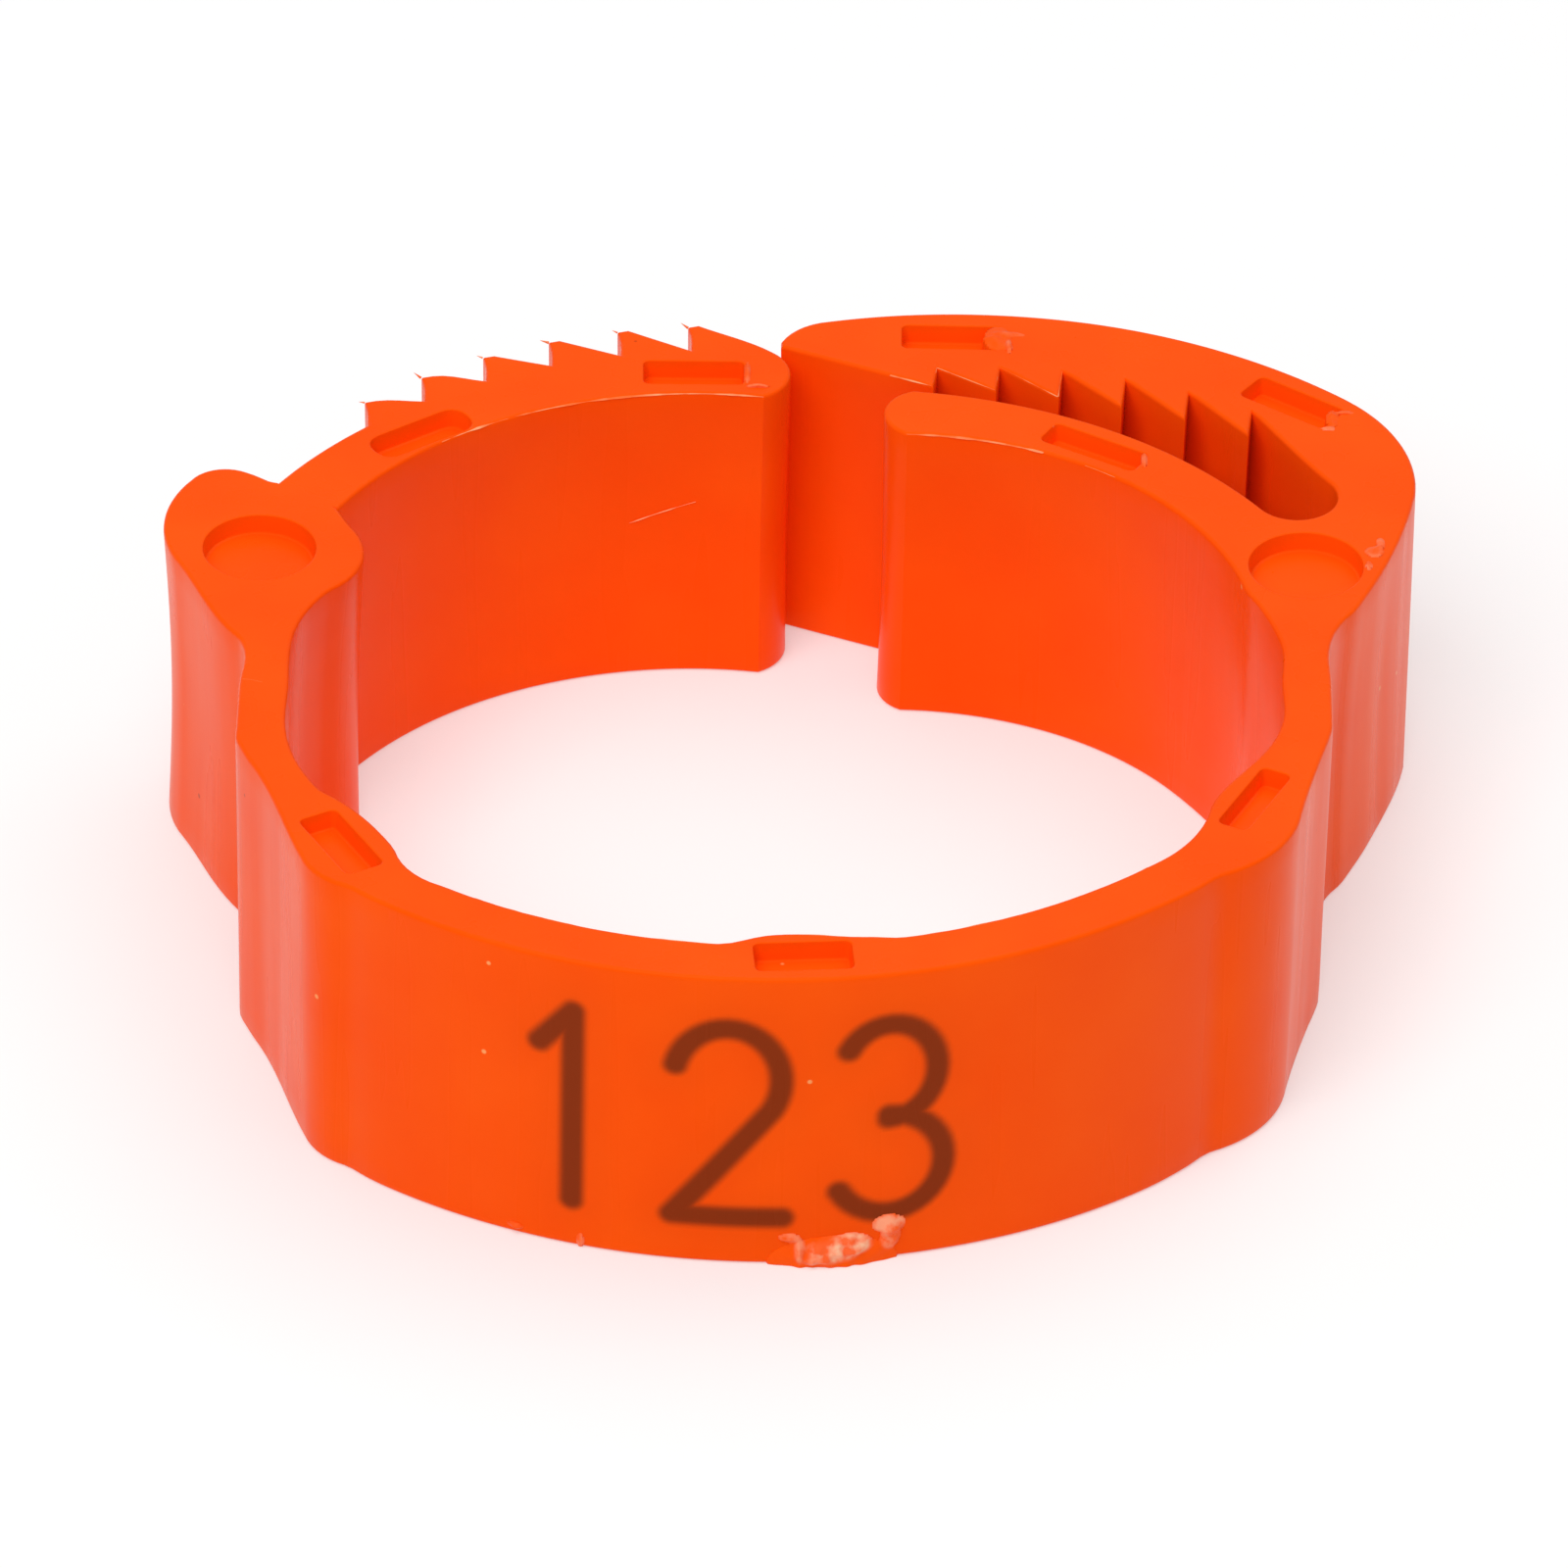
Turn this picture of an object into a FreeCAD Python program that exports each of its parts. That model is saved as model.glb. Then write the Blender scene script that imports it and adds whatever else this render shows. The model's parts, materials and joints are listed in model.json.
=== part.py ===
import FreeCAD, Part
import math
import os
import Sketcher

# Numbered leg band for poultry: one springy polypropylene moulding, squeezed shut by hand round
# the bird's leg so that a toothed tongue runs into a toothed jaw and ratchets there.
# The moulding is divided at its flex lines into the zones that move as one.
# Frame: millimetres, origin on the axis of the leg opening at the lower face, +Z up along the
# leg, +X towards the jaw side, +Y towards the clasp; the number panel faces -Y.

os.makedirs("parts", exist_ok=True)
doc = FreeCAD.newDocument("leg_band")

# ---------------------------------------------------------------- driving dimensions
SIZES = [
    # whole band
    ("band_height", 8.4, "height of the band along the leg"),
    ("web_spacing", 25.26, "between the middle planes of the two hinge webs"),
    ("flex_gap", 0.04, "clearance round a flexing end"),
    ("mark_depth", 0.5, "depth of the ejector marks"),
    # number panel
    ("panel_bulge", 2.97, "how much larger the panel's outer radius is than half the web spacing"),
    ("panel_wall", 1.45, "wall of the number panel"),
    ("panel_centre_x", -0.6, "centre of the panel's arc"),
    ("panel_centre_y", 2.5, "centre of the panel's arc"),
    ("left_knee_angle", 231.0, "where the panel's arc ends on the left, degrees"),
    ("right_knee_angle", 315.5, "where the panel's arc ends on the right, degrees"),
    ("left_knee_round", 1.8, "outer radius of the left knee"),
    ("right_knee_round", 3.4, "outer radius of the right knee"),
    ("flank_round", 8.0, "radius where a flank turns into its web"),
    ("pad_x", 0.85, "middle of the middle pad"),
    ("pad_rise", 0.35, "how far the middle pad stands inward"),
    ("pad_width", 2.4, "flat width of the middle pad"),
    # hinge webs
    ("web_wall", 1.2, "wall of the hinge webs"),
    ("left_web_foot", -2.9, "height up the side of the left web's lower flex line"),
    ("left_web_reach", 3.0, "left web, flex line to flex line"),
    ("right_web_foot", -1.7, "height up the side of the right web's lower flex line"),
    ("right_web_reach", 2.7, "right web, flex line to flex line"),
    # finger lug and tongue
    ("lug_out", 0.32, "middle of the finger lug, outward from the web's middle plane"),
    ("lug_rise", 4.3, "middle of the finger lug, up from the left web's upper flex line"),
    ("lug_back_radius", 3.4, "outer curve of the finger lug"),
    ("lug_nose_radius", 1.0, "rounded end of the finger lug"),
    ("lug_bulge_radius", 2.0, "inner bulge of the finger lug"),
    ("lug_throat_radius", 4.2, "inner curve from the web into the lug"),
    ("lug_mark_radius", 1.36, "round ejector mark on the lug"),
    ("strap_bulge", 0.58, "outer face of the tongue's strap, radius over half the web spacing"),
    ("strap_centre_x", -1.37, "centre of the strap's outer face"),
    ("strap_centre_y", 0.27, "centre of the strap's outer face"),
    ("strap_inner_bulge", -2.31, "inner face of the strap, radius over half the web spacing"),
    ("strap_inner_x", -2.06, "centre of the strap's inner face"),
    ("strap_inner_y", 1.18, "centre of the strap's inner face"),
    ("tooth_height", 1.12, "height of a tongue tooth's steep face"),
    ("tooth_land", 0.18, "flat at a tooth's crest"),
    ("tooth_angle", 7.72, "pitch of the tongue teeth, degrees"),
    ("tooth_start", 133.7, "first tongue tooth, degrees"),
    ("tongue_nose_radius", 1.2, "rounded end of the tongue"),
    ("tongue_end_x", -0.5, "where the tongue's end rounds off"),
    ("crease_in", 0.01, "outer end of the crease between lug and tongue, from the web's plane"),
    ("crease_inner_in", 1.53, "inner end of that crease, from the web's plane"),
    # jaw
    ("slot_radius", 1.03, "rounded end of the slot in the jaw"),
    ("slot_angle", 36.5, "where the lip's outer face runs into the slot's end, degrees"),
    ("shoulder_in", 2.04, "centre of the shoulder's outer curve, inward from the web's plane"),
    ("shoulder_rise", 0.62, "centre of the shoulder's outer curve, up from the slot's end"),
    ("shoulder_flank_radius", 18.0, "outer curve from the web up to the shoulder"),
    ("shoulder_mark_radius", 1.38, "round ejector mark on the shoulder"),
    ("shoulder_mark_out", 0.03, "middle of that mark, outward from the web's plane"),
    ("shoulder_mark_rise", 3.57, "middle of that mark, up from the right web's upper flex line"),
    ("jaw_throat_radius", 8.8, "inner curve from the web into the lip"),
    ("hook_bulge", 1.52, "outer curve of the hook, radius over half the web spacing"),
    ("hook_centre_x", 4.5, "centre of the hook's outer curve"),
    ("hook_centre_y", 1.17, "centre of the hook's outer curve"),
    ("hook_nose_radius", 1.6, "rounded end of the hook"),
    ("hook_nose_x", -0.3, "end of the hook"),
    ("hook_crest_bulge", 8.63, "circle of the hook teeth's crests, radius over half the spacing"),
    ("hook_crest_x", 2.49, "centre of that circle"),
    ("hook_crest_y", -9.2, "centre of that circle"),
    ("hook_valley_bulge", 0.25, "circle of the hook teeth's roots, radius over half the spacing"),
    ("hook_valley_x", 4.99, "centre of that circle"),
    ("hook_valley_y", 0.05, "centre of that circle"),
    ("hook_tooth_start", 3.5, "first hook tooth"),
    ("hook_tooth_pitch", 1.56, "pitch of the hook teeth"),
    ("hook_flex_out", 1.855, "flex line at the hook's root, outward from the slot's end"),
    ("hook_flex_rise", 1.29, "flex line at the hook's root, up from the slot's end"),
    ("hook_flex_radius", 1.5, "radius of the joint face round that line"),
    ("lip_bulge", -0.53, "outer face of the inner lip, radius over half the web spacing"),
    ("lip_centre_x", 1.89, "centre of the lip's outer face"),
    ("lip_centre_y", -0.2, "centre of the lip's outer face"),
    ("lip_inner_bulge", -4.01, "inner face of the lip, radius over half the web spacing"),
    ("lip_inner_x", 2.85, "centre of the lip's inner face"),
    ("lip_inner_y", 1.29, "centre of the lip's inner face"),
    ("lip_nose_radius", 1.05, "rounded end of the lip"),
    ("lip_end_x", 3.0, "where the lip's outer face ends"),
    ("lip_flex_in", 2.705, "flex line at the lip's root, inward from the slot's end"),
    ("lip_flex_rise", 0.18, "flex line at the lip's root, up from the slot's end"),
    ("lip_flex_radius", 1.4, "radius of the joint face round that line"),
    # gate
    ("gate_height", 0.8, "height of the broken gate stub"),
    ("gate_proud", 0.22, "how far the stub stands out"),
    ("gate_angle", 277.4, "middle of the stub on the panel's arc, degrees"),
    ("gate_width", 9.6, "angle that the stub covers, degrees"),
]
TEETH = 6
# length and width of the rectangular ejector marks
PAD_MARK = (2.3, 1.05)
MEDIUM_MARK = (2.45, 0.95)
ROOT_MARK = (2.7, 0.95)
SLIM_MARK = (2.6, 0.8)
NARROW_MARK = (2.5, 0.72)

sheet = doc.addObject("Spreadsheet::Sheet", "Sizes")
for row, (alias, value, note) in enumerate(SIZES, start=1):
    sheet.set("A%d" % row, alias)
    sheet.set("B%d" % row, repr(value))
    sheet.setAlias("B%d" % row, alias)
    sheet.set("C%d" % row, note)
doc.recompute()


def size(alias):
    """The number that the sheet holds under this name."""
    return float(sheet.get(alias))


# ---------------------------------------------------------------- plane geometry
def band_circle(x, y, bulge):
    """One of the band's large curves: a named centre, and a radius that follows the webs."""
    return (size(x), size(y), size("web_spacing") / 2 + size(bulge))


def grown(ring, by):
    """The same circle, let out."""
    return (ring[0], ring[1], ring[2] + by)


def at_x(ring, x, side=1):
    """The point of a circle at this x, on its upper (1) or lower (-1) half."""
    return (x, ring[1] + side * math.sqrt(ring[2] ** 2 - (x - ring[0]) ** 2))


def at_y(ring, y, side=1):
    """The point of a circle at this y, on its right (1) or left (-1) half."""
    return (ring[0] + side * math.sqrt(ring[2] ** 2 - (y - ring[1]) ** 2), y)


def at_angle(ring, angle):
    turn = math.radians(angle)
    return (ring[0] + ring[2] * math.cos(turn), ring[1] + ring[2] * math.sin(turn))


def meet(one, two, near):
    """Where two circles cross, the crossing nearest to a point."""
    dx = two[0] - one[0]
    dy = two[1] - one[1]
    apart = math.hypot(dx, dy)
    along = (one[2] ** 2 - two[2] ** 2 + apart ** 2) / (2 * apart)
    off = math.sqrt(one[2] ** 2 - along ** 2)
    crossings = []
    for side in (1, -1):
        x = one[0] + (along * dx - side * off * dy) / apart
        y = one[1] + (along * dy + side * off * dx) / apart
        crossings.append((x, y))
    return min(crossings, key=lambda point: math.dist(point, near))


def vector(point, level=0.0):
    return FreeCAD.Vector(point[0], point[1], level)


# ---------------------------------------------------------------- sketches and features
def arc_and_ends(start, end, radius, side):
    """The short arc from start to end, drawn anticlockwise, with its first and last vertex.

    Side 1 bulges to the left of the way from start to end, side -1 to the right.
    """
    half = math.dist(start, end) / 2
    rise = radius - math.sqrt(max(radius ** 2 - half ** 2, 0.0))
    across = (-(end[1] - start[1]) / (2 * half), (end[0] - start[0]) / (2 * half))
    crown = (
        (start[0] + end[0]) / 2 + side * rise * across[0],
        (start[1] + end[1]) / 2 + side * rise * across[1],
    )
    if side < 0:
        return Part.Arc(vector(start), vector(crown), vector(end)), 1, 2
    return Part.Arc(vector(end), vector(crown), vector(start)), 2, 1


def new_sketch(body, name, level_alias=None):
    sketch = body.newObject("Sketcher::SketchObject", name)
    for plane in body.Origin.OriginFeatures:
        if plane.Role == "XY_Plane":
            sketch.AttachmentSupport = [(plane, "")]
    sketch.MapMode = "FlatFace"
    if level_alias:
        sketch.setExpression("AttachmentOffset.Base.z", "Sizes." + level_alias)
    return sketch


def bind_radius(sketch, edge, alias):
    """Tie one arc's radius to a cell of the sheet."""
    index = sketch.addConstraint(Sketcher.Constraint("Radius", edge, size(alias)))
    sketch.renameConstraint(index, "%s_%d" % (alias, edge))
    sketch.setExpression("Constraints.%s_%d" % (alias, edge), "Sizes." + alias)


def outline(body, name, start, moves):
    """A closed outline on the body's base plane, walked anticlockwise.

    Each move is (end,) for a straight run, or (end, radius, side) for an arc, where the radius is
    a number or the name of a size.
    """
    sketch = new_sketch(body, name)
    ends = []
    here = start
    for edge, move in enumerate(moves):
        if len(move) == 1:
            sketch.addGeometry(Part.LineSegment(vector(here), vector(move[0])))
            ends.append((1, 2))
        else:
            radius = size(move[1]) if isinstance(move[1], str) else move[1]
            arc, first, last = arc_and_ends(here, move[0], radius, move[2])
            sketch.addGeometry(arc)
            ends.append((first, last))
        here = move[0]
    for edge in range(len(moves)):
        after = (edge + 1) % len(moves)
        sketch.addConstraint(
            Sketcher.Constraint("Coincident", edge, ends[edge][1], after, ends[after][0])
        )
    for edge, move in enumerate(moves):
        if len(move) == 3 and isinstance(move[1], str):
            bind_radius(sketch, edge, move[1])
    return sketch


def new_body(label):
    body = doc.addObject("PartDesign::Body", label)
    body.Label = label
    body.Placement = FreeCAD.Placement()
    return body


def pad(body, sketch, length_alias):
    feature = body.newObject("PartDesign::Pad", body.Label + "_pad")
    feature.Profile = sketch
    feature.setExpression("Length", "Sizes." + length_alias)
    sketch.Visibility = False
    doc.recompute()
    return feature


def sink_mark(body, sketch):
    """Cut an ejector mark into the upper face and make sure that it took material away."""
    before = body.Shape.Volume
    feature = body.newObject("PartDesign::Pocket", sketch.Name + "_pocket")
    feature.Profile = sketch
    feature.setExpression("Length", "Sizes.mark_depth")
    doc.recompute()
    if body.Shape.Volume >= before - 1e-6:
        raise RuntimeError(sketch.Name + " cuts nothing")


def round_mark(body, name, middle, radius_alias):
    sketch = new_sketch(body, name, "band_height")
    axis = FreeCAD.Vector(0, 0, 1)
    sketch.addGeometry(Part.Circle(vector(middle), axis, size(radius_alias)))
    bind_radius(sketch, 0, radius_alias)
    sink_mark(body, sketch)


def long_mark(body, name, middle, extent, angle):
    """A rectangular ejector mark of this length and width, turned by an angle from +X."""
    turn = math.radians(angle)
    along = (math.cos(turn) * extent[0] / 2, math.sin(turn) * extent[0] / 2)
    across = (-math.sin(turn) * extent[1] / 2, math.cos(turn) * extent[1] / 2)
    corners = []
    for end, edge in ((-1, -1), (1, -1), (1, 1), (-1, 1)):
        corners.append((
            middle[0] + end * along[0] + edge * across[0],
            middle[1] + end * along[1] + edge * across[1],
        ))
    sketch = new_sketch(body, name, "band_height")
    for number in range(4):
        here = vector(corners[number])
        there = vector(corners[(number + 1) % 4])
        sketch.addGeometry(Part.LineSegment(here, there))
    for number in range(4):
        sketch.addConstraint(
            Sketcher.Constraint("Coincident", number, 2, (number + 1) % 4, 1)
        )
    sink_mark(body, sketch)


def mark_along(body, name, ring, angle, depth, extent, tilt=0.0):
    """A rectangular ejector mark that lies along a curve, at a depth inside it."""
    middle = at_angle(grown(ring, -depth), angle)
    long_mark(body, name, middle, extent, angle - 90 + tilt)


# ---------------------------------------------------------------- shared places
HALF_WALL = size("web_wall") / 2
WEB_X = size("web_spacing") / 2
WEB_OUTER = WEB_X + HALF_WALL
WEB_INNER = WEB_X - HALF_WALL
CUP_RADIUS = HALF_WALL + size("flex_gap")
# A cup's corners lie this far beyond its flex line, where the cup meets the faces of the wall.
CUP_REACH = math.sqrt(CUP_RADIUS ** 2 - HALF_WALL ** 2)
LEFT_TOP = size("left_web_foot") + size("left_web_reach")
RIGHT_TOP = size("right_web_foot") + size("right_web_reach")

PANEL = band_circle("panel_centre_x", "panel_centre_y", "panel_bulge")
PANEL_INNER = grown(PANEL, -size("panel_wall"))
STRAP = band_circle("strap_centre_x", "strap_centre_y", "strap_bulge")
STRAP_INNER = band_circle("strap_inner_x", "strap_inner_y", "strap_inner_bulge")
HOOK = band_circle("hook_centre_x", "hook_centre_y", "hook_bulge")
CRESTS = band_circle("hook_crest_x", "hook_crest_y", "hook_crest_bulge")
VALLEYS = band_circle("hook_valley_x", "hook_valley_y", "hook_valley_bulge")
LIP = band_circle("lip_centre_x", "lip_centre_y", "lip_bulge")
LIP_INNER = band_circle("lip_inner_x", "lip_inner_y", "lip_inner_bulge")
# The slot's round end touches the lip's outer face, which carries on into it.
LIP_ROOT = at_angle(LIP, size("slot_angle"))
SLOT_END = at_angle(grown(LIP, size("slot_radius")), size("slot_angle"))
SLOT = (SLOT_END[0], SLOT_END[1], size("slot_radius"))
HOOK_JOINT = (SLOT[0] + size("hook_flex_out"), SLOT[1] + size("hook_flex_rise"),
              size("hook_flex_radius"))
HOOK_CUP = grown(HOOK_JOINT, size("flex_gap"))
LIP_JOINT = (SLOT[0] - size("lip_flex_in"), SLOT[1] + size("lip_flex_rise"),
             size("lip_flex_radius"))
LIP_CUP = grown(LIP_JOINT, size("flex_gap"))

LUG = (-WEB_X - size("lug_out"), LEFT_TOP + size("lug_rise"))
LEFT_KNEE = at_angle(PANEL, size("left_knee_angle"))
RIGHT_KNEE = at_angle(PANEL, size("right_knee_angle"))

# The shoulder's outer curve runs into the hook's, so its radius follows from the two centres.
SHOULDER_MIDDLE = (WEB_X - size("shoulder_in"), SLOT[1] + size("shoulder_rise"))
TO_SHOULDER = (SHOULDER_MIDDLE[0] - HOOK[0], SHOULDER_MIDDLE[1] - HOOK[1])
SHOULDER = (*SHOULDER_MIDDLE, HOOK[2] - math.hypot(*TO_SHOULDER))
HOOK_START = at_angle(HOOK, math.degrees(math.atan2(TO_SHOULDER[1], TO_SHOULDER[0])))

CREASE = at_x(STRAP, -WEB_X + size("crease_in"))
CREASE_INNER = at_x(STRAP_INNER, -WEB_X + size("crease_inner_in"))


# ---------------------------------------------------------------- number panel
def make_number_panel():
    """The front wall that carries the number, its two thick knees and the feet of both webs."""
    pad_x = size("pad_x")
    pad_half = size("pad_width") / 2
    pad_face = at_x(PANEL_INNER, pad_x, -1)[1] + size("pad_rise")
    left_foot = size("left_web_foot") - CUP_REACH
    right_foot = size("right_web_foot") - CUP_REACH
    start = (-WEB_OUTER, left_foot)
    moves = [
        ((-WEB_OUTER, left_foot - 0.5),),
        ((-WEB_OUTER + 0.5, left_foot - 1.75), "flank_round", -1),
        ((LEFT_KNEE[0] - 1.08, LEFT_KNEE[1] + 1.15),),
        (LEFT_KNEE, "left_knee_round", -1),
        (RIGHT_KNEE, PANEL[2], -1),
        ((RIGHT_KNEE[0] + 1.92, RIGHT_KNEE[1] + 2.66), "right_knee_round", -1),
        ((WEB_OUTER - 0.2, right_foot - 1.2),),
        ((WEB_OUTER, right_foot - 0.25), "flank_round", -1),
        ((WEB_OUTER, right_foot),),
        ((WEB_INNER, right_foot), CUP_RADIUS, 1),
        ((WEB_INNER - 0.48, right_foot - 1.4), 4.0, 1),
        ((WEB_INNER - 1.78, right_foot - 3.7),),
        (at_x(PANEL_INNER, WEB_INNER - 2.78, -1), 4.0, 1),
        (at_x(PANEL_INNER, pad_x + pad_half + 0.9, -1), PANEL_INNER[2], 1),
        ((pad_x + pad_half, pad_face),),
        ((pad_x - pad_half, pad_face - 0.03),),
        (at_x(PANEL_INNER, pad_x - pad_half - 1.1, -1),),
        (at_x(PANEL_INNER, -WEB_INNER + 3.93, -1), PANEL_INNER[2], 1),
        ((-WEB_INNER + 2.8, left_foot - 5.0), 2.0, 1),
        ((-WEB_INNER + 2.4, left_foot - 4.25),),
        ((-WEB_INNER + 0.93, left_foot - 2.6), 6.0, -1),
        ((-WEB_INNER, left_foot), 5.5, 1),
        (start, CUP_RADIUS, 1),
    ]
    body = new_body("number_panel")
    pad(body, outline(body, "panel_outline", start, moves), "band_height")
    long_mark(body, "middle_pad_mark", (pad_x - 0.3, pad_face - 0.86), PAD_MARK, 5)
    left_mark = (LEFT_KNEE[0] - 0.13, LEFT_KNEE[1] + 1.77)
    long_mark(body, "left_knee_mark", left_mark, MEDIUM_MARK, -60)
    right_mark = ((WEB_X + RIGHT_KNEE[0]) / 2 - 0.28, RIGHT_KNEE[1] + 3.13)
    long_mark(body, "right_knee_mark", right_mark, NARROW_MARK, 64)
    return body


def make_gate_stub():
    """The stub that was left where the moulding was broken off its runner."""
    face = PANEL[2] + size("gate_proud")
    low = size("gate_angle") - size("gate_width") / 2
    high = size("gate_angle") + size("gate_width") / 2
    outer = (PANEL[0], PANEL[1], face)
    start = at_angle(PANEL, low)
    moves = [
        (at_angle(outer, low + 1),),
        (at_angle(outer, high - 1), face, -1),
        (at_angle(PANEL, high),),
        (start, PANEL[2], 1),
    ]
    body = new_body("gate_stub")
    pad(body, outline(body, "gate_outline", start, moves), "gate_height")
    return body


# ---------------------------------------------------------------- hinge webs
def make_web(label, x, foot, reach):
    """A thin wall that bends at both ends, round one flex line at its foot and one at its top."""
    start = (x - HALF_WALL, foot)
    moves = [
        ((x + HALF_WALL, foot), HALF_WALL, -1),
        ((x + HALF_WALL, foot + reach),),
        ((x - HALF_WALL, foot + reach), HALF_WALL, -1),
        (start,),
    ]
    body = new_body(label)
    pad(body, outline(body, label + "_outline", start, moves), "band_height")
    return body


# ---------------------------------------------------------------- lug and tongue
def make_finger_lug():
    """The thick lug that the thumb presses, between the left web and the tongue."""
    lug_x, lug_y = LUG
    cup_y = LEFT_TOP + CUP_REACH
    start = CREASE
    moves = [
        ((lug_x - 0.45, lug_y + 3.3),),
        ((lug_x - 1.8, lug_y + 2.9), "lug_nose_radius", -1),
        ((lug_x - 1.95, lug_y - 0.7), "lug_back_radius", -1),
        ((-WEB_OUTER - 0.25, cup_y + 0.45),),
        ((-WEB_OUTER, cup_y), 1.2, 1),
        ((-WEB_INNER, cup_y), CUP_RADIUS, 1),
        ((lug_x + 1.8, lug_y - 1.7), "lug_throat_radius", 1),
        ((lug_x + 2.2, lug_y + 1.02), "lug_bulge_radius", -1),
        (CREASE_INNER,),
        (start,),
    ]
    body = new_body("finger_lug")
    pad(body, outline(body, "lug_outline", start, moves), "band_height")
    round_mark(body, "lug_mark", LUG, "lug_mark_radius")
    return body


def make_toothed_tongue():
    """The curved strap with ratchet teeth on its back, steep sides towards the lug."""
    land = size("tooth_land")
    moves = [
        (at_x(STRAP_INNER, size("tongue_end_x") - 0.2), STRAP_INNER[2], 1),
        ((size("tongue_end_x"), at_x(STRAP, size("tongue_end_x"))[1] - 0.02),
         "tongue_nose_radius", -1),
    ]
    for tooth in reversed(range(TEETH)):
        root = at_angle(STRAP, size("tooth_start") - tooth * size("tooth_angle"))
        crest_y = root[1] + size("tooth_height")
        moves.append(((root[0] + land, crest_y),))
        moves.append(((root[0], crest_y - land / 2),))
        moves.append((root,))
    moves.append((CREASE, STRAP[2], -1))
    moves.append((CREASE_INNER,))
    body = new_body("toothed_tongue")
    pad(body, outline(body, "tongue_outline", CREASE_INNER, moves), "band_height")
    mark_along(body, "tongue_tip_mark", STRAP, 95.1, 1.01, MEDIUM_MARK, tilt=-4)
    mark_along(body, "tongue_root_mark", STRAP, 130.1, 1.14, ROOT_MARK, tilt=-4)
    return body


# ---------------------------------------------------------------- jaw
def make_jaw_shoulder():
    """The thick corner that joins the right web to the hook and the lip, with the slot's end."""
    cup_y = RIGHT_TOP + CUP_REACH
    start = (WEB_OUTER, cup_y)
    moves = [
        ((WEB_OUTER + 0.6, cup_y + 1.45), 3.0, 1),
        (meet(SHOULDER, HOOK_CUP, (SHOULDER[0] + SHOULDER[2], SLOT[1])),
         "shoulder_flank_radius", -1),
        (meet(SLOT, HOOK_CUP, (SLOT[0] + SLOT[2], SLOT[1])), HOOK_CUP[2], 1),
        ((SLOT[0], SLOT[1] - SLOT[2]), "slot_radius", 1),
        (LIP_ROOT, "slot_radius", 1),
        (meet(LIP, LIP_CUP, LIP_ROOT), LIP[2], -1),
        (meet(LIP_INNER, LIP_CUP, (LIP_JOINT[0], LIP_JOINT[1] - LIP_JOINT[2])), LIP_CUP[2], 1),
        (at_y(LIP_INNER, cup_y + 2.2), LIP_INNER[2], 1),
        ((WEB_INNER, cup_y), "jaw_throat_radius", 1),
        (start, CUP_RADIUS, 1),
    ]
    body = new_body("jaw_shoulder")
    pad(body, outline(body, "shoulder_outline", start, moves), "band_height")
    mark = (WEB_X + size("shoulder_mark_out"), RIGHT_TOP + size("shoulder_mark_rise"))
    round_mark(body, "shoulder_mark", mark, "shoulder_mark_radius")
    return body


def make_hook_arm():
    """The outer jaw, a springy hook whose inner teeth catch the tongue's, with a lead-in ramp."""
    start = meet(SHOULDER, HOOK_JOINT, (SHOULDER[0] + SHOULDER[2], SLOT[1]))
    nose_x = size("hook_nose_x")
    moves = [
        (HOOK_START, SHOULDER[2], -1),
        (at_x(HOOK, nose_x + 1.2), HOOK[2], -1),
        ((nose_x, at_x(HOOK, nose_x)[1] - 0.6), "hook_nose_radius", -1),
        ((nose_x, at_x(HOOK, nose_x)[1] - 0.85),),
    ]
    for tooth in range(TEETH):
        x = size("hook_tooth_start") + tooth * size("hook_tooth_pitch")
        moves.append((at_x(CRESTS, x),))
        moves.append((at_x(VALLEYS, x + 0.1),))
    moves.append((at_angle(SLOT, 40),))
    moves.append((meet(SLOT, HOOK_JOINT, (SLOT[0] + SLOT[2], SLOT[1])), "slot_radius", 1))
    moves.append((start, "hook_flex_radius", -1))
    body = new_body("hook_arm")
    pad(body, outline(body, "hook_outline", start, moves), "band_height")
    mark_along(body, "hook_tip_mark", HOOK, 92.4, 1.09, MEDIUM_MARK, tilt=-2.4)
    mark_along(body, "hook_back_mark", HOOK, 53.0, 1.03, MEDIUM_MARK, tilt=2)
    return body


def make_inner_lip():
    """The inner jaw, a springy finger that presses the tongue outward onto the hook's teeth."""
    start = meet(LIP_INNER, LIP_JOINT, (LIP_JOINT[0], LIP_JOINT[1] - LIP_JOINT[2]))
    moves = [
        (meet(LIP, LIP_JOINT, LIP_ROOT), "lip_flex_radius", -1),
        (at_x(LIP, size("lip_end_x")), LIP[2], -1),
        (at_x(LIP_INNER, size("lip_end_x") - 0.15), "lip_nose_radius", -1),
        (start, LIP_INNER[2], 1),
    ]
    body = new_body("inner_lip")
    pad(body, outline(body, "lip_outline", start, moves), "band_height")
    mark_along(body, "lip_mark", LIP, 60.0, 0.9, SLIM_MARK)
    return body


pieces = [
    make_number_panel(),
    make_gate_stub(),
    make_web("left_hinge_web", -WEB_X, size("left_web_foot"), size("left_web_reach")),
    make_finger_lug(),
    make_toothed_tongue(),
    make_web("right_hinge_web", WEB_X, size("right_web_foot"), size("right_web_reach")),
    make_jaw_shoulder(),
    make_hook_arm(),
    make_inner_lip(),
]
doc.recompute()

# ---------------------------------------------------------------- checks and files
for thing in doc.Objects:
    if "Invalid" in thing.State or "Error" in thing.State:
        raise RuntimeError("%s is %s" % (thing.Label, thing.State))
for piece in pieces:
    if piece.Shape.isNull() or not piece.Shape.isValid():
        raise RuntimeError(piece.Label + " has no valid shape")
    if len(piece.Shape.Solids) != 1:
        raise RuntimeError(piece.Label + " is not one solid")
for piece in pieces:
    piece.Shape.exportStep("parts/%s.step" % piece.Label)
    print("%-18s %8.2f mm3" % (piece.Label, piece.Shape.Volume))
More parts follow.
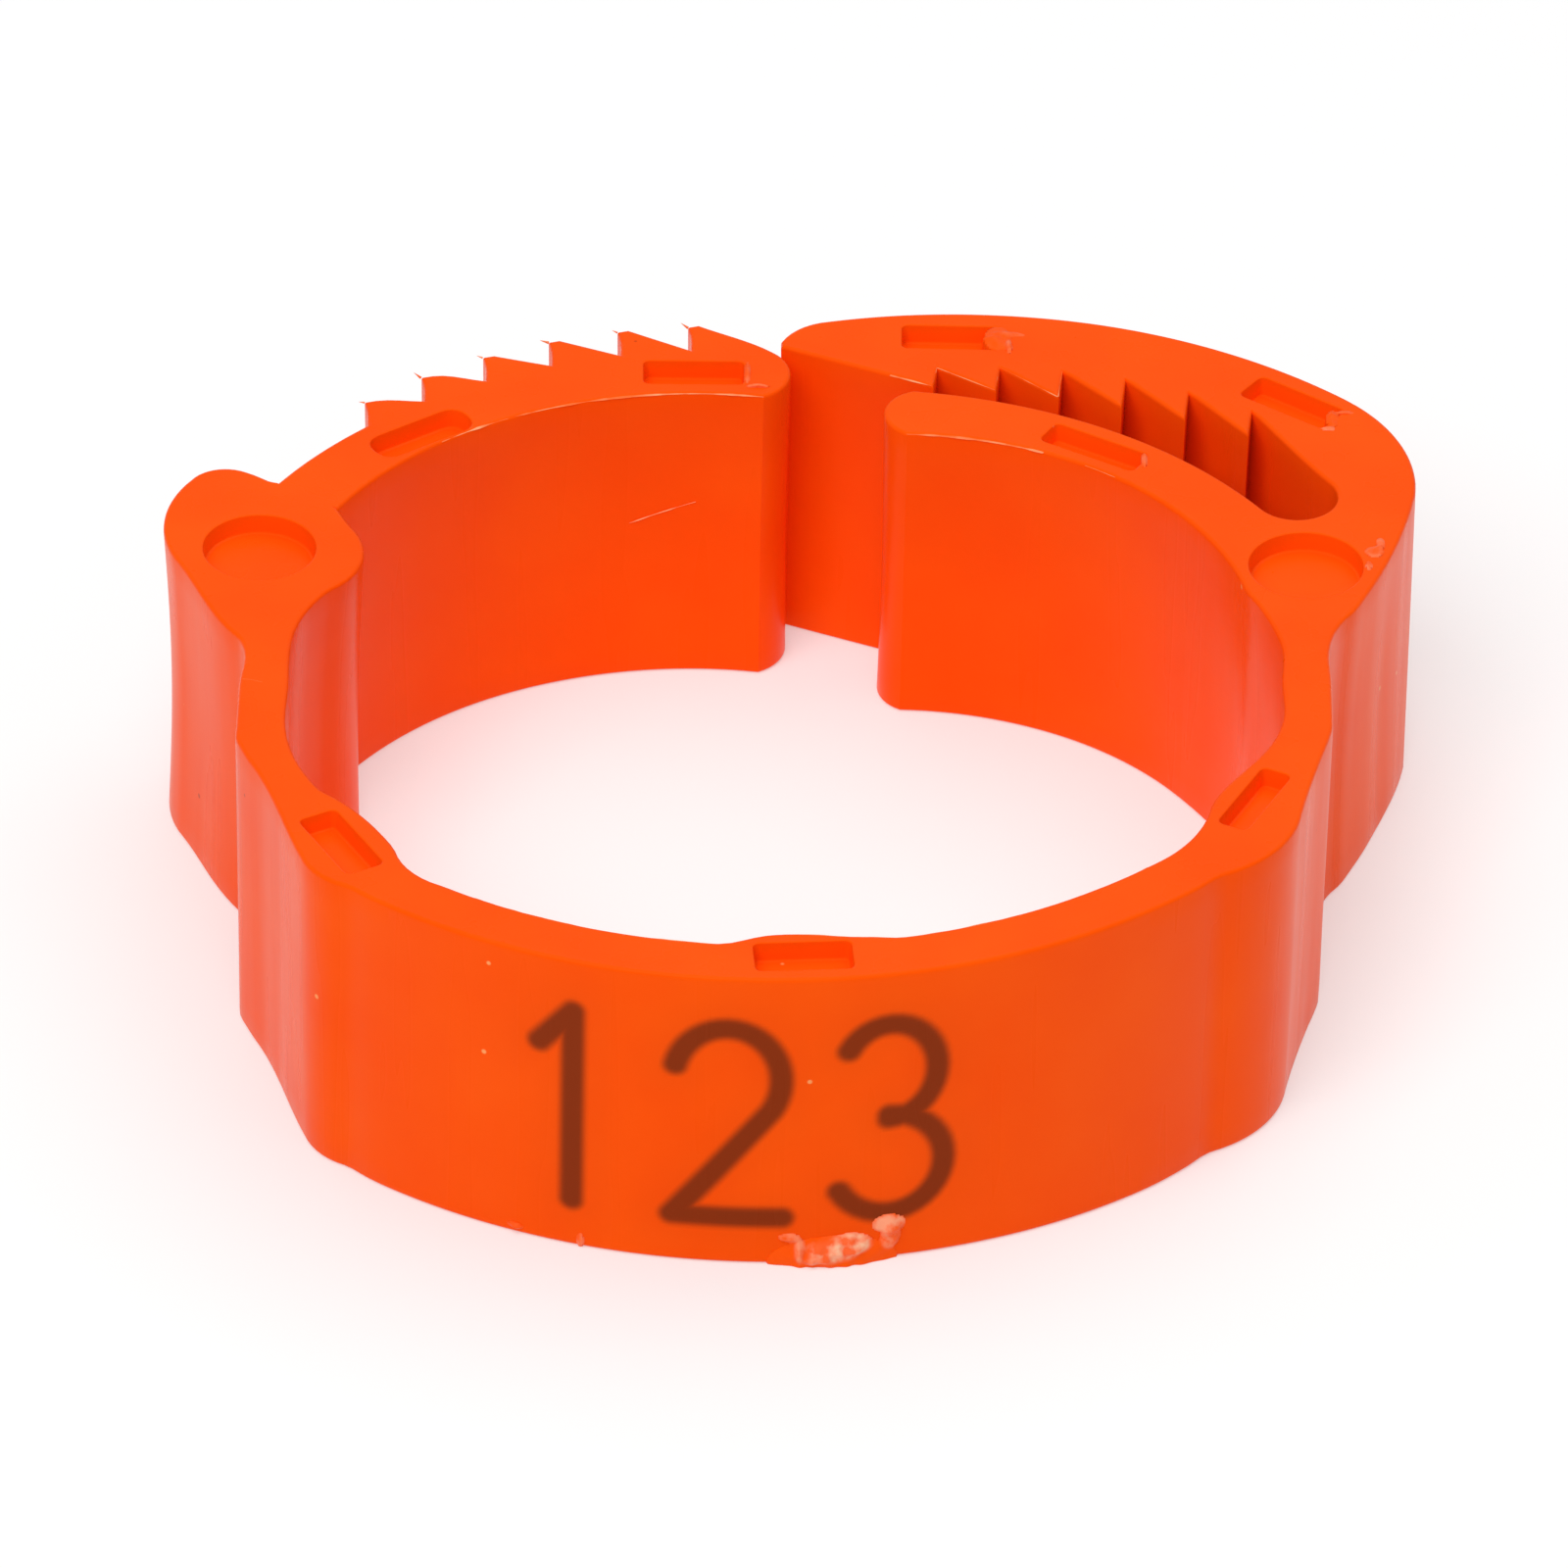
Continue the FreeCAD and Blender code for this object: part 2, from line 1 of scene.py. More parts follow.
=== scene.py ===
import json
import math

import bmesh
import bpy
import numpy as np
from mathutils import Matrix, Vector, noise


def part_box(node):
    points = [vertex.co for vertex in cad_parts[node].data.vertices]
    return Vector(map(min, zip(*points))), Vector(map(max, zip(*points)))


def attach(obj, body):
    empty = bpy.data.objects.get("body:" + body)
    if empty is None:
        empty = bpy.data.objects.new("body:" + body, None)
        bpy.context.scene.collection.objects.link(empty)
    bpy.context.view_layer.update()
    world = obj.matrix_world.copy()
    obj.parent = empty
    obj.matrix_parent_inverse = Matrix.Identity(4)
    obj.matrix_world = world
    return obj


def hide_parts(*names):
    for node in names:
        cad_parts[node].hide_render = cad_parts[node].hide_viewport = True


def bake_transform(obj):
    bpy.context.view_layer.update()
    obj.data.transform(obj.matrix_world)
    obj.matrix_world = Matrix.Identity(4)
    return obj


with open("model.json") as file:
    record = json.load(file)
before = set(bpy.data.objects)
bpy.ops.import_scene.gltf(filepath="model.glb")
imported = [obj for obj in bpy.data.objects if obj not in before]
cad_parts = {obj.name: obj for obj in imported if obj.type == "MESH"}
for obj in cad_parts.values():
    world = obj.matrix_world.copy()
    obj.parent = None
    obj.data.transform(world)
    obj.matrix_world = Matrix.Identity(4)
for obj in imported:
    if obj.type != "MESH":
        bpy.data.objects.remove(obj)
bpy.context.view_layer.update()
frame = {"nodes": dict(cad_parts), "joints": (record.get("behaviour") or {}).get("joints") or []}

# ------------------------------------------------------------------------------------ number panel
# The front wall that carries the bird's number, with a small pad in the middle of its inner face.
# It is one moulding of polypropylene with everything else, coloured orange through and through,
# with small rounds where the mould's halves met, and the number is burnt in by a laser.

# sizes are in millimetres, and MM turns one into the scene's metres
MM = 0.001
BAND_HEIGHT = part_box("number_panel")[1].z / MM
# the rounds along the upper and lower edges
EDGE_ROUND = 0.1
ROUND_STEPS = 4
# how finely the walls are divided, along the outline and up the side
LONGEST_STEP = 0.3
WALL_LEVELS = 14
# a corner of the outline that turns by more than this stays sharp
SHARP = math.radians(28)
# the furthest that a sharp corner may reach when a wall is set in, as a share of the inset
MITRE_LIMIT = 2.2
# how near a point lies to count as being on a flat level, on a cut or on a joint face
ON_LEVEL = 0.01
ON_CUT = 0.001
ON_FACE = 0.02
# how far from a cut a wall's sink and draft have reached their full depth
EASE_REACH = 3.0
# how far the side of a thick part leans in at the foot
DRAFT = 0.12
# the slow waves that a moulding takes on as it cools, with a seed so that each run gives the same
WAVE_LENGTH = 5.0
WAVE_HEIGHT = 0.022
WAVE_SEED = 1
noise.seed_set(WAVE_SEED)


def flat_loops(node, level):
    """The outlines, in millimetres, of the faces of a CAD node that lie flat at this height."""
    mesh = bmesh.new()
    mesh.from_mesh(frame["nodes"][node].data)
    bmesh.ops.remove_doubles(mesh, verts=mesh.verts, dist=0.002 * MM)
    flat = {
        face for face in mesh.faces
        if abs(face.normal.z) > 0.99
        and all(abs(corner.co.z / MM - level) < ON_LEVEL for corner in face.verts)
    }
    following = {}
    for face in mesh.faces:
        if face not in flat:
            continue
        for corner in face.loops:
            others = [other for other in corner.edge.link_faces if other in flat]
            if len(others) == 1:
                following[corner.vert.index] = corner.link_loop_next.vert.index
    mesh.verts.ensure_lookup_table()
    loops = []
    while following:
        start = here = next(iter(following))
        points = []
        while here in following:
            place = mesh.verts[here].co
            points.append(Vector((place.x / MM, place.y / MM)))
            here = following.pop(here)
        area = sum(a.x * b.y - b.x * a.y for a, b in zip(points, points[1:] + points[:1]))
        loops.append(points if area > 0 else points[::-1])
        assert here == start, node
    mesh.free()
    return loops


def straighten(points, centre, radius, instead):
    """The outline with other points in place of those on the joint face round a flex line."""
    on_face = [abs((point - centre).length - radius) < ON_FACE for point in points]
    first = next(i for i in range(len(points)) if on_face[i] and not on_face[i - 1])
    turned = points[first:] + points[:first]
    on_face = on_face[first:] + on_face[:first]
    count = on_face.index(False)
    return instead(turned[0], turned[count - 1]) + turned[count:]


def between(point, cut):
    """How far a point is from a cut, the straight line between two points."""
    along = cut[1] - cut[0]
    share = max(0.0, min(1.0, (point - cut[0]).dot(along) / along.length_squared))
    return (point - cut[0] - along * share).length


def fine_outline(points, cuts=(), finer=None):
    """The same outline with its arcs made round again, its corners sharp and its cuts straight."""
    count = len(points)
    ways = [(points[(i + 1) % count] - points[i]) for i in range(count)]
    ends = []
    for i in range(count):
        before = ways[i - 1].normalized()
        after = ways[i].normalized()
        at_cut = any(between(points[i], cut) < ON_CUT for cut in cuts)
        if at_cut or before.angle(after) > SHARP:
            ends.append((before, after))
        else:
            mean = (before * ways[i].length + after * ways[i - 1].length).normalized()
            ends.append((mean, mean))
    result = []
    for i in range(count):
        here, there = points[i], points[(i + 1) % count]
        length = ways[i].length
        step = LONGEST_STEP
        if finer and finer[0](here) and finer[0](there):
            step = finer[1]
        pieces = max(1, math.ceil(length / step))
        leave, arrive = ends[i][1] * length, ends[(i + 1) % count][0] * length
        for k in range(pieces):
            t = k / pieces
            result.append(
                here * (2 * t ** 3 - 3 * t ** 2 + 1) + leave * (t ** 3 - 2 * t ** 2 + t)
                + there * (3 * t ** 2 - 2 * t ** 3) + arrive * (t ** 3 - t ** 2)
            )
    return result


def inward_step(points, cuts):
    """For each point, how it moves when the walls go in by one millimetre and the cuts stay."""
    steps = []
    for i, point in enumerate(points):
        sides = []
        for a, b in ((points[i - 1], point), (point, points[(i + 1) % len(points)])):
            way = (b - a).normalized()
            is_cut = any(between(a, cut) < ON_CUT and between(b, cut) < ON_CUT for cut in cuts)
            sides.append((Vector((-way.y, way.x)), 0.0 if is_cut else 1.0))
        (one, d1), (two, d2) = sides
        det = one.x * two.y - one.y * two.x
        if abs(det) < 0.05:
            step = (one + two).normalized() * max(d1, d2) if d1 == d2 else one * d1
        else:
            step = Vector(((d1 * two.y - d2 * one.y) / det, (d2 * one.x - d1 * two.x) / det))
        steps.append(step * min(1.0, MITRE_LIMIT / max(step.length, 1e-9)))
    return steps


def waves(place):
    """The few hundredths of a millimetre by which a cooled moulding isn't true."""
    drift = noise.noise_vector(Vector((place.x, place.y, place.z * 0.35)) / WAVE_LENGTH)
    return Vector((drift.x, drift.y, 0.0)) * WAVE_HEIGHT


def moulded_wall(name, outline, cuts, waist=0.0, draft=0.0, levels=WALL_LEVELS, finer=None):
    """A closed wall that stands on its outline, with rounded upper and lower edges.

    A thick part shrinks as it cools, so its sides draw in by the waist at half height. The draft is
    how far they lean in at the foot, so that the part lets go of the steel. Finer is a test for the
    points of the outline that need a smaller step, and that step.
    """
    points = fine_outline(outline, cuts, finer)
    steps = inward_step(points, cuts)
    ease = []
    for point in points:
        near = min([between(point, cut) for cut in cuts], default=9.0)
        share = min(1.0, near / EASE_REACH)
        ease.append(share * share * (3 - 2 * share))
    rings = []
    for k in range(ROUND_STEPS + 1):
        turn = math.pi / 2 * k / ROUND_STEPS
        rings.append((EDGE_ROUND * (1 - math.cos(turn)), EDGE_ROUND * (1 - math.sin(turn))))
    for k in range(1, levels):
        rings.append((EDGE_ROUND + (BAND_HEIGHT - 2 * EDGE_ROUND) * k / levels, 0.0))
    for k in range(ROUND_STEPS, -1, -1):
        turn = math.pi / 2 * k / ROUND_STEPS
        rings.append((BAND_HEIGHT - EDGE_ROUND * (1 - math.cos(turn)),
                      EDGE_ROUND * (1 - math.sin(turn))))
    mesh = bmesh.new()
    layers = []
    for height, inset in rings:
        draw = waist * math.sin(math.pi * height / BAND_HEIGHT)
        draw += draft * (1 - height / BAND_HEIGHT)
        layer = []
        for point, step, share in zip(points, steps, ease):
            flat = point + step * (inset + draw * share)
            place = Vector((flat.x, flat.y, height))
            layer.append(mesh.verts.new((place + waves(place)) * MM))
        layers.append(layer)
    for below, above in zip(layers, layers[1:]):
        for i in range(len(points)):
            j = (i + 1) % len(points)
            mesh.faces.new((below[i], below[j], above[j], above[i]))
    mesh.faces.new(layers[0][::-1])
    mesh.faces.new(layers[-1])
    data = bpy.data.meshes.new(name)
    mesh.to_mesh(data)
    mesh.free()
    piece = bpy.data.objects.new(name, data)
    bpy.context.scene.collection.objects.link(piece)
    return piece


# the pin prints: where their floor lies, the fillet round it and the soft rim
MARK_FLOOR = BAND_HEIGHT - 0.5
MARK_FILLET = 0.08
MARK_RIM = 0.05
MARK_CORNER = 0.16


def round_corners(points, radius):
    """The outline with each sharp corner turned into a small arc."""
    result = []
    for i, corner in enumerate(points):
        before, after = points[i - 1] - corner, points[(i + 1) % len(points)] - corner
        if abs(math.pi - before.angle(after)) < SHARP:
            result.append(corner)
            continue
        reach = min(radius, before.length * 0.48, after.length * 0.48)
        start, end = corner + before.normalized() * reach, corner + after.normalized() * reach
        for k in range(6):
            t = k / 5
            result.append(start * (1 - t) ** 2 + corner * 2 * t * (1 - t) + end * t ** 2)
    return result


def without(piece, tool):
    """Cut one closed mesh out of another, and take the tool away."""
    cutting = piece.modifiers.new("cut", "BOOLEAN")
    cutting.operation, cutting.solver, cutting.object = "DIFFERENCE", "EXACT", tool
    depsgraph = bpy.context.evaluated_depsgraph_get()
    data = bpy.data.meshes.new_from_object(piece.evaluated_get(depsgraph))
    piece.modifiers.clear()
    piece.data = data
    bpy.data.objects.remove(tool)


def sink_marks(piece, loops, corner=MARK_CORNER):
    """The prints of the ejector pins: shallow recesses with a soft rim and a soft foot."""
    profile = [
        (MARK_FLOOR, MARK_FILLET), (MARK_FLOOR + MARK_FILLET * 0.3, MARK_FILLET * 0.3),
        (MARK_FLOOR + MARK_FILLET, 0.0), (BAND_HEIGHT - MARK_RIM, -0.02),
        (BAND_HEIGHT - MARK_RIM * 0.3, -0.02 - MARK_RIM * 0.3),
        (BAND_HEIGHT, -0.02 - MARK_RIM), (BAND_HEIGHT + 0.1, -0.12 - MARK_RIM),
    ]
    for loop in loops:
        outline = round_corners(loop, corner)
        steps = inward_step(outline, [])
        mesh = bmesh.new()
        layers = []
        for height, inset in profile:
            flat = [point + step * inset for point, step in zip(outline, steps)]
            layers.append([mesh.verts.new(Vector((p.x, p.y, height)) * MM) for p in flat])
        for below, above in zip(layers, layers[1:]):
            for i in range(len(outline)):
                j = (i + 1) % len(outline)
                mesh.faces.new((below[i], below[j], above[j], above[i]))
        mesh.faces.new(layers[0][::-1])
        mesh.faces.new(layers[-1])
        data = bpy.data.meshes.new("pin_print")
        mesh.to_mesh(data)
        mesh.free()
        tool = bpy.data.objects.new("pin_print", data)
        bpy.context.scene.collection.objects.link(tool)
        without(piece, tool)


def smooth_walls(piece):
    """Smooth shading, with sharp edges at the corners and round the flat faces."""
    mesh = bmesh.new()
    mesh.from_mesh(piece.data)
    for face in mesh.faces:
        face.smooth = True
    for edge in mesh.edges:
        if len(edge.link_faces) != 2:
            continue
        flat = [abs(face.normal.z) > 0.9995 for face in edge.link_faces]
        edge.smooth = flat[0] == flat[1] and edge.calc_face_angle(0.0) < SHARP
    mesh.to_mesh(piece.data)
    mesh.free()


def linear(code):
    """An sRGB hex value as the linear colour that a shader takes."""
    parts = [int(code[i:i + 2], 16) / 255 for i in (1, 3, 5)]
    return [p / 12.92 if p <= 0.04045 else ((p + 0.055) / 1.055) ** 2.4 for p in parts] + [1.0]


def add_node(tree, kind, links=None, **settings):
    """One more node: settings by property or by input name, links as input to output."""
    node = tree.nodes.new(kind)
    for key, value in settings.items():
        if hasattr(node, key):
            setattr(node, key, value)
        else:
            node.inputs[key.replace("_", " ")].default_value = value
    for key, output in (links or {}).items():
        tree.links.new(output, node.inputs[key])
    return node


ORANGE = linear("#FF5606")
DEEP_ORANGE = linear("#FD5004")
LASER_BROWN = linear("#86300F")


def polypropylene(name, number=False):
    """Injection-moulded polypropylene, pigmented orange: satin, a little waxy, faintly clouded.

    The eye sees one strong colour, soft broad reflections that waver with the cooled surface, and
    faint upright streaks where the part was drawn from the steel.
    """
    material = bpy.data.materials.new(name)
    material.use_nodes = True
    tree = material.node_tree
    tree.nodes.clear()
    place = add_node(tree, "ShaderNodeTexCoord").outputs["Object"]
    # pigment that clouds over about 3 mm
    cloud = add_node(tree, "ShaderNodeTexNoise", {"Vector": place}, Scale=1 / (3.0 * MM),
                     Detail=3.0)
    cloudiness = add_node(tree, "ShaderNodeMapRange", {"Value": cloud.outputs["Fac"]},
                          From_Min=0.3, From_Max=0.7)
    colour = add_node(tree, "ShaderNodeMix", {0: cloudiness.outputs[0]}, data_type="RGBA")
    colour.inputs[6].default_value = ORANGE
    colour.inputs[7].default_value = DEEP_ORANGE
    # dots in place of tiny pits, about 0.12 mm across: the dark ones are painted shade in the pits
    # and the pale ones painted glints on them. The cells are 1.3 mm wide, and about one in six
    # holds one
    painted_pit_cells = add_node(tree, "ShaderNodeTexVoronoi", {"Vector": place}, Scale=1 / (1.3 * MM))
    near = add_node(tree, "ShaderNodeMapRange", {"Value": painted_pit_cells.outputs["Distance"]},
                    From_Min=0.035, From_Max=0.06, To_Min=1.0, To_Max=0.0)
    pick = add_node(tree, "ShaderNodeSeparateColor", {"Color": painted_pit_cells.outputs["Color"]})
    # the dark dots: painted shade of tiny pits
    dark = add_node(tree, "ShaderNodeMath", {0: pick.outputs[0]}, operation="GREATER_THAN")
    dark.inputs[1].default_value = 0.9
    painted_pit_shade = add_node(tree, "ShaderNodeMath", {0: near.outputs[0], 1: dark.outputs[0]},
                     operation="MULTIPLY")
    faint = add_node(tree, "ShaderNodeMath", {0: painted_pit_shade.outputs[0]}, operation="MULTIPLY")
    faint.inputs[1].default_value = 0.55
    tone = add_node(tree, "ShaderNodeMix", {0: faint.outputs[0], 6: colour.outputs[2]},
                    data_type="RGBA")
    tone.inputs[7].default_value = linear("#8E2A08")
    # the pale dots: painted glints on tiny pits
    pale = add_node(tree, "ShaderNodeMath", {0: pick.outputs[1]}, operation="GREATER_THAN")
    pale.inputs[1].default_value = 0.93
    painted_pit_glint = add_node(tree, "ShaderNodeMath", {0: near.outputs[0], 1: pale.outputs[0]},
                           operation="MULTIPLY")
    lighter = add_node(tree, "ShaderNodeMix", {0: painted_pit_glint.outputs[0], 6: tone.outputs[2]},
                       data_type="RGBA")
    lighter.inputs[7].default_value = linear("#FFA060")
    body_colour = lighter.outputs[2]
    if number:
        burnt = add_node(tree, "ShaderNodeAttribute", attribute_name="laser")
        body = add_node(tree, "ShaderNodeMix", {0: burnt.outputs["Fac"], 6: body_colour},
                        data_type="RGBA")
        body.inputs[7].default_value = LASER_BROWN
        body_colour = body.outputs[2]
    # upright streaks about 0.9 mm apart, swells about 2.4 mm apart, and a skin like very fine
    # leather, grain 0.12 mm
    upright = add_node(tree, "ShaderNodeMapping", {"Vector": place}, Scale=(1.0, 1.0, 0.06))
    streak = add_node(tree, "ShaderNodeTexNoise", {"Vector": upright.outputs[0]},
                      Scale=1 / (0.9 * MM), Detail=2.0)
    skin = add_node(tree, "ShaderNodeTexNoise", {"Vector": place}, Scale=1 / (0.12 * MM),
                    Detail=2.0)
    swell = add_node(tree, "ShaderNodeTexNoise", {"Vector": place}, Scale=1 / (2.4 * MM),
                     Detail=1.0)
    low_bump = add_node(tree, "ShaderNodeBump", {"Height": swell.outputs["Fac"]}, Strength=1.0,
                        Distance=0.03 * MM)
    mid_bump = add_node(tree, "ShaderNodeBump",
                        {"Height": streak.outputs["Fac"], "Normal": low_bump.outputs[0]},
                        Strength=1.0, Distance=0.0015 * MM)
    fine_bump = add_node(tree, "ShaderNodeBump",
                         {"Height": skin.outputs["Fac"], "Normal": mid_bump.outputs[0]},
                         Strength=1.0, Distance=0.001 * MM)
    gloss = add_node(tree, "ShaderNodeMapRange", {"Value": streak.outputs["Fac"]},
                     From_Min=0.3, From_Max=0.7, To_Min=0.24, To_Max=0.36)
    shader = add_node(tree, "ShaderNodeBsdfPrincipled",
                      {"Base Color": body_colour, "Roughness": gloss.outputs[0],
                       "Normal": fine_bump.outputs[0]}, IOR=1.49, Specular_IOR_Level=0.12,
                      Specular_Tint=linear("#FF9A5A"))
    add_node(tree, "ShaderNodeOutputMaterial", {"Surface": shader.outputs[0]})
    return material


PLASTIC = polypropylene("satin_moulded_polypropylene")
NUMBERED = polypropylene("laser_marked_polypropylene", number=True)

# the centre of the panel's curve, and the two directions from it in which the knees are cut off
PANEL_CENTRE = Vector((-0.6, 2.5))
LEFT_CUT_ANGLE = 236.0
RIGHT_CUT_ANGLE = 307.0
flex_line = {
    joint["name"]: Vector(joint["pos_m"][:2]) / MM for joint in frame["joints"]
}
web_half = (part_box("left_hinge_web")[1].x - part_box("left_hinge_web")[0].x) / MM / 2
left_cut_y = (flex_line["left_spread"].y + flex_line["left_close"].y) / 2
right_cut_y = (flex_line["right_spread"].y + flex_line["right_close"].y) / 2
left_web_cut = [Vector((flex_line["left_spread"].x + s * web_half, left_cut_y)) for s in (-1, 1)]
right_web_cut = [Vector((flex_line["right_spread"].x + s * web_half, right_cut_y)) for s in (-1, 1)]
# the radius of the joint faces in the webs
CUP = 0.64


def up_the_web(cut):
    """Carries the wall past a cup and on to where the web is cut across."""
    def corners(first, last):
        ends = sorted(cut, key=lambda p: (p - first).length)
        return [first, ends[0], ends[1], last]
    return corners


panel_outline = flat_loops("number_panel", 0.0)[0]
panel_outline = straighten(panel_outline, flex_line["left_spread"], CUP, up_the_web(left_web_cut))
panel_outline = straighten(panel_outline, flex_line["right_spread"], CUP,
                           up_the_web(right_web_cut))


def split_outline(points, angle, keep_side):
    """The part of the panel's outline on one side of a line from its centre, and the new cut."""
    turn = math.radians(angle)
    across = Vector((-math.sin(turn), math.cos(turn)))
    kept, cut = [], []
    for i, here in enumerate(points):
        there = points[(i + 1) % len(points)]
        a, b = (here - PANEL_CENTRE).dot(across), (there - PANEL_CENTRE).dot(across)
        if a * keep_side > 0:
            kept.append(here)
        if a * b < 0:
            cut.append(here + (there - here) * (a / (a - b)))
            kept.append(cut[-1])
    return kept, cut


def marks_near(node, low_x, high_x):
    """The outlines of the pin prints of a CAD node whose middle lies between two places along X."""
    loops = flat_loops(node, MARK_FLOOR)
    return [p for p in loops if low_x < sum(v.x for v in p) / len(p) < high_x]


smooth_panel = fine_outline(panel_outline)
middle, left_panel_cut = split_outline(smooth_panel, LEFT_CUT_ANGLE, 1)
middle, right_panel_cut = split_outline(middle, RIGHT_CUT_ANGLE, -1)
panel_radius = max((point - PANEL_CENTRE).length for point in middle)
# the number: how fine the wall is under it, how far it reaches to each side, and its strokes
DIGIT_STEP = 0.085
NUMBER_REACH = 7.9
DIGIT_PITCH = 3.9
DIGIT_HALF_HEIGHT = 2.78
DIGIT_HALF_WIDTH = 1.36
DIGIT_MIDDLE = (-0.6, 4.15)
STROKE = 0.31
STROKE_BLUR = 0.15
# how brown the plastic is beside a stroke, and how far that takes to fade
SCORCH = 0.1
SCORCH_FADE = 0.6


def under_number(point):
    """Whether this point of the outline is on the outer face, where the number goes."""
    return (point - PANEL_CENTRE).length > panel_radius - 0.1 and abs(point.x) < NUMBER_REACH


panel = moulded_wall("number_panel_wall", middle, [left_panel_cut, right_panel_cut],
                     levels=round(BAND_HEIGHT / DIGIT_STEP), finer=(under_number, DIGIT_STEP))
sink_marks(panel, marks_near("number_panel", -8.0, 8.0))


def arc(x, y, width, height, start, end):
    """Points along part of an oval, for a digit's bow."""
    turns = [math.radians(start + (end - start) * k / 24) for k in range(25)]
    return [(x + width * math.cos(t), y + height * math.sin(t)) for t in turns]


# three plain digits of single strokes, in a box that runs from -1 to 1 both ways
DIGITS = [
    [[(-0.5, 0.62), (0.12, 1.0), (0.12, -1.0)]],
    [arc(0.0, 0.45, 0.95, 0.55, 165, -35) + [(-0.95, -1.0), (1.0, -1.0)]],
    [arc(0.0, 0.5, 0.85, 0.5, 150, -90), arc(0.0, -0.48, 1.0, 0.52, 90, -150)],
]


def burn_number(piece):
    """How deep the laser's burn is at each point of the outer face, as an attribute."""
    count = len(piece.data.vertices)
    places = np.empty(count * 3)
    piece.data.vertices.foreach_get("co", places)
    places = places.reshape(-1, 3) / MM
    east, north = places[:, 0] - PANEL_CENTRE.x, places[:, 1] - PANEL_CENTRE.y
    along = panel_radius * (np.arctan2(north, east) + math.pi / 2)
    nearest = np.full(count, 9.0)
    for number, strokes in enumerate(DIGITS):
        middle_along = DIGIT_MIDDLE[0] + (number - 1) * DIGIT_PITCH
        for stroke in strokes:
            line = [np.array((middle_along + x * DIGIT_HALF_WIDTH,
                              DIGIT_MIDDLE[1] + y * DIGIT_HALF_HEIGHT)) for x, y in stroke]
            here = np.stack((along, places[:, 2]), axis=1)
            for a, b in zip(line, line[1:]):
                share = np.clip(((here - a) @ (b - a)) / ((b - a) @ (b - a)), 0, 1)
                gap = np.linalg.norm(here - a - share[:, None] * (b - a), axis=1)
                nearest = np.minimum(nearest, gap)
    nearest[np.hypot(east, north) < panel_radius - 0.3] = 9.0
    t = np.clip((STROKE + STROKE_BLUR - nearest) / (2 * STROKE_BLUR), 0, 1)
    scorch = SCORCH * np.exp(-np.maximum(nearest - STROKE, 0) / SCORCH_FADE)
    burn = piece.data.attributes.new("laser", "FLOAT", "POINT")
    burn.data.foreach_set("value", np.maximum(t * t * (3 - 2 * t), scorch).astype(np.float32))


def finish_piece(piece, material):
    """Shading and plastic for a piece whose mesh is done."""
    smooth_walls(piece)
    piece.data.materials.clear()
    piece.data.materials.append(material)


burn_number(panel)
finish_piece(panel, NUMBERED)
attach(panel, "panel")
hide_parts("number_panel")

# ----------------------------------------------------------------------------------- knees and webs
# The panel ends in two thick knees, and each knee runs up into a thin web, the living hinge that
# bends when the band is squeezed or spread. Each piece here is a knee with the lower half of its
# web, in one with the panel and of the same plastic.


def bend(piece):
    """Bakes the piece's placement into its mesh."""
    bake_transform(piece)


left_outline, cut = split_outline(smooth_panel, LEFT_CUT_ANGLE, -1)
left_knee = moulded_wall("left_knee_and_web", left_outline, [cut, left_web_cut], draft=DRAFT)
sink_marks(left_knee, marks_near("number_panel", -16.0, -8.0))
finish_piece(left_knee, PLASTIC)
bend(left_knee)
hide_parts("number_panel", "left_hinge_web")

right_outline, cut = split_outline(smooth_panel, RIGHT_CUT_ANGLE, 1)
right_knee = moulded_wall("right_knee_and_web", right_outline, [cut, right_web_cut], draft=DRAFT)
sink_marks(right_knee, marks_near("number_panel", 8.0, 16.0))
finish_piece(right_knee, PLASTIC)
bend(right_knee)
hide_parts("number_panel", "right_hinge_web")

# --------------------------------------------------------------------------------------- finger lug
# The thick lug beside the tongue, which the thumb presses to close the band. It is a solid lump of
# plastic, so its sides have sunk in a little as it cooled, and it carries a round pin print.

lug_outline = straighten(flat_loops("finger_lug", 0.0)[0], flex_line["left_close"], CUP,
                         up_the_web(left_web_cut))
tongue_outline = flat_loops("toothed_tongue", 0.0)[0]
crease = [p for p in lug_outline if min((p - q).length for q in tongue_outline) < 0.01]
lug = moulded_wall("finger_lug_with_web", lug_outline, [left_web_cut, crease], waist=0.13,
                   draft=DRAFT)
sink_marks(lug, flat_loops("finger_lug", MARK_FLOOR))
finish_piece(lug, PLASTIC)
bend(lug)
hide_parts("finger_lug", "left_hinge_web")

# ----------------------------------------------------------------------------------- toothed tongue
# The curved strap that slides into the jaw, with six ratchet teeth on its back, all in one with the
# lug. The steep sides stand in the way that the mould's steel drew out, so they are parallel.

# how far the tip of a tooth is dragged over
HOOKED_TIP = 0.09
# the first print, near the lug, has rounder corners than the others
LUG_END_CORNER = 0.5


def steep_foot(points, i):
    """Whether the outline drops straight down from this corner, as it does from a tooth's tip."""
    way = points[(i + 1) % len(points)] - points[i]
    return abs(way.x) < 1e-3 and way.y < -0.5


tooth_tips = [p for i, p in enumerate(tongue_outline) if steep_foot(tongue_outline, i)]
toothed_outline = []
for point in tongue_outline:
    if point in tooth_tips:
        toothed_outline.append(point - Vector((HOOKED_TIP, 0.0)))
        toothed_outline.append(point - Vector((HOOKED_TIP * 0.2, 0.4)))
    else:
        toothed_outline.append(point)
tongue = moulded_wall("toothed_tongue_strap", toothed_outline, [crease], waist=0.03)
tongue_marks = flat_loops("toothed_tongue", MARK_FLOOR)
tongue_marks.sort(key=lambda p: p[0].x)
sink_marks(tongue, tongue_marks[:1], corner=LUG_END_CORNER)
sink_marks(tongue, tongue_marks[1:])
finish_piece(tongue, PLASTIC)
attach(tongue, "tongue_arm")
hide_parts("toothed_tongue")

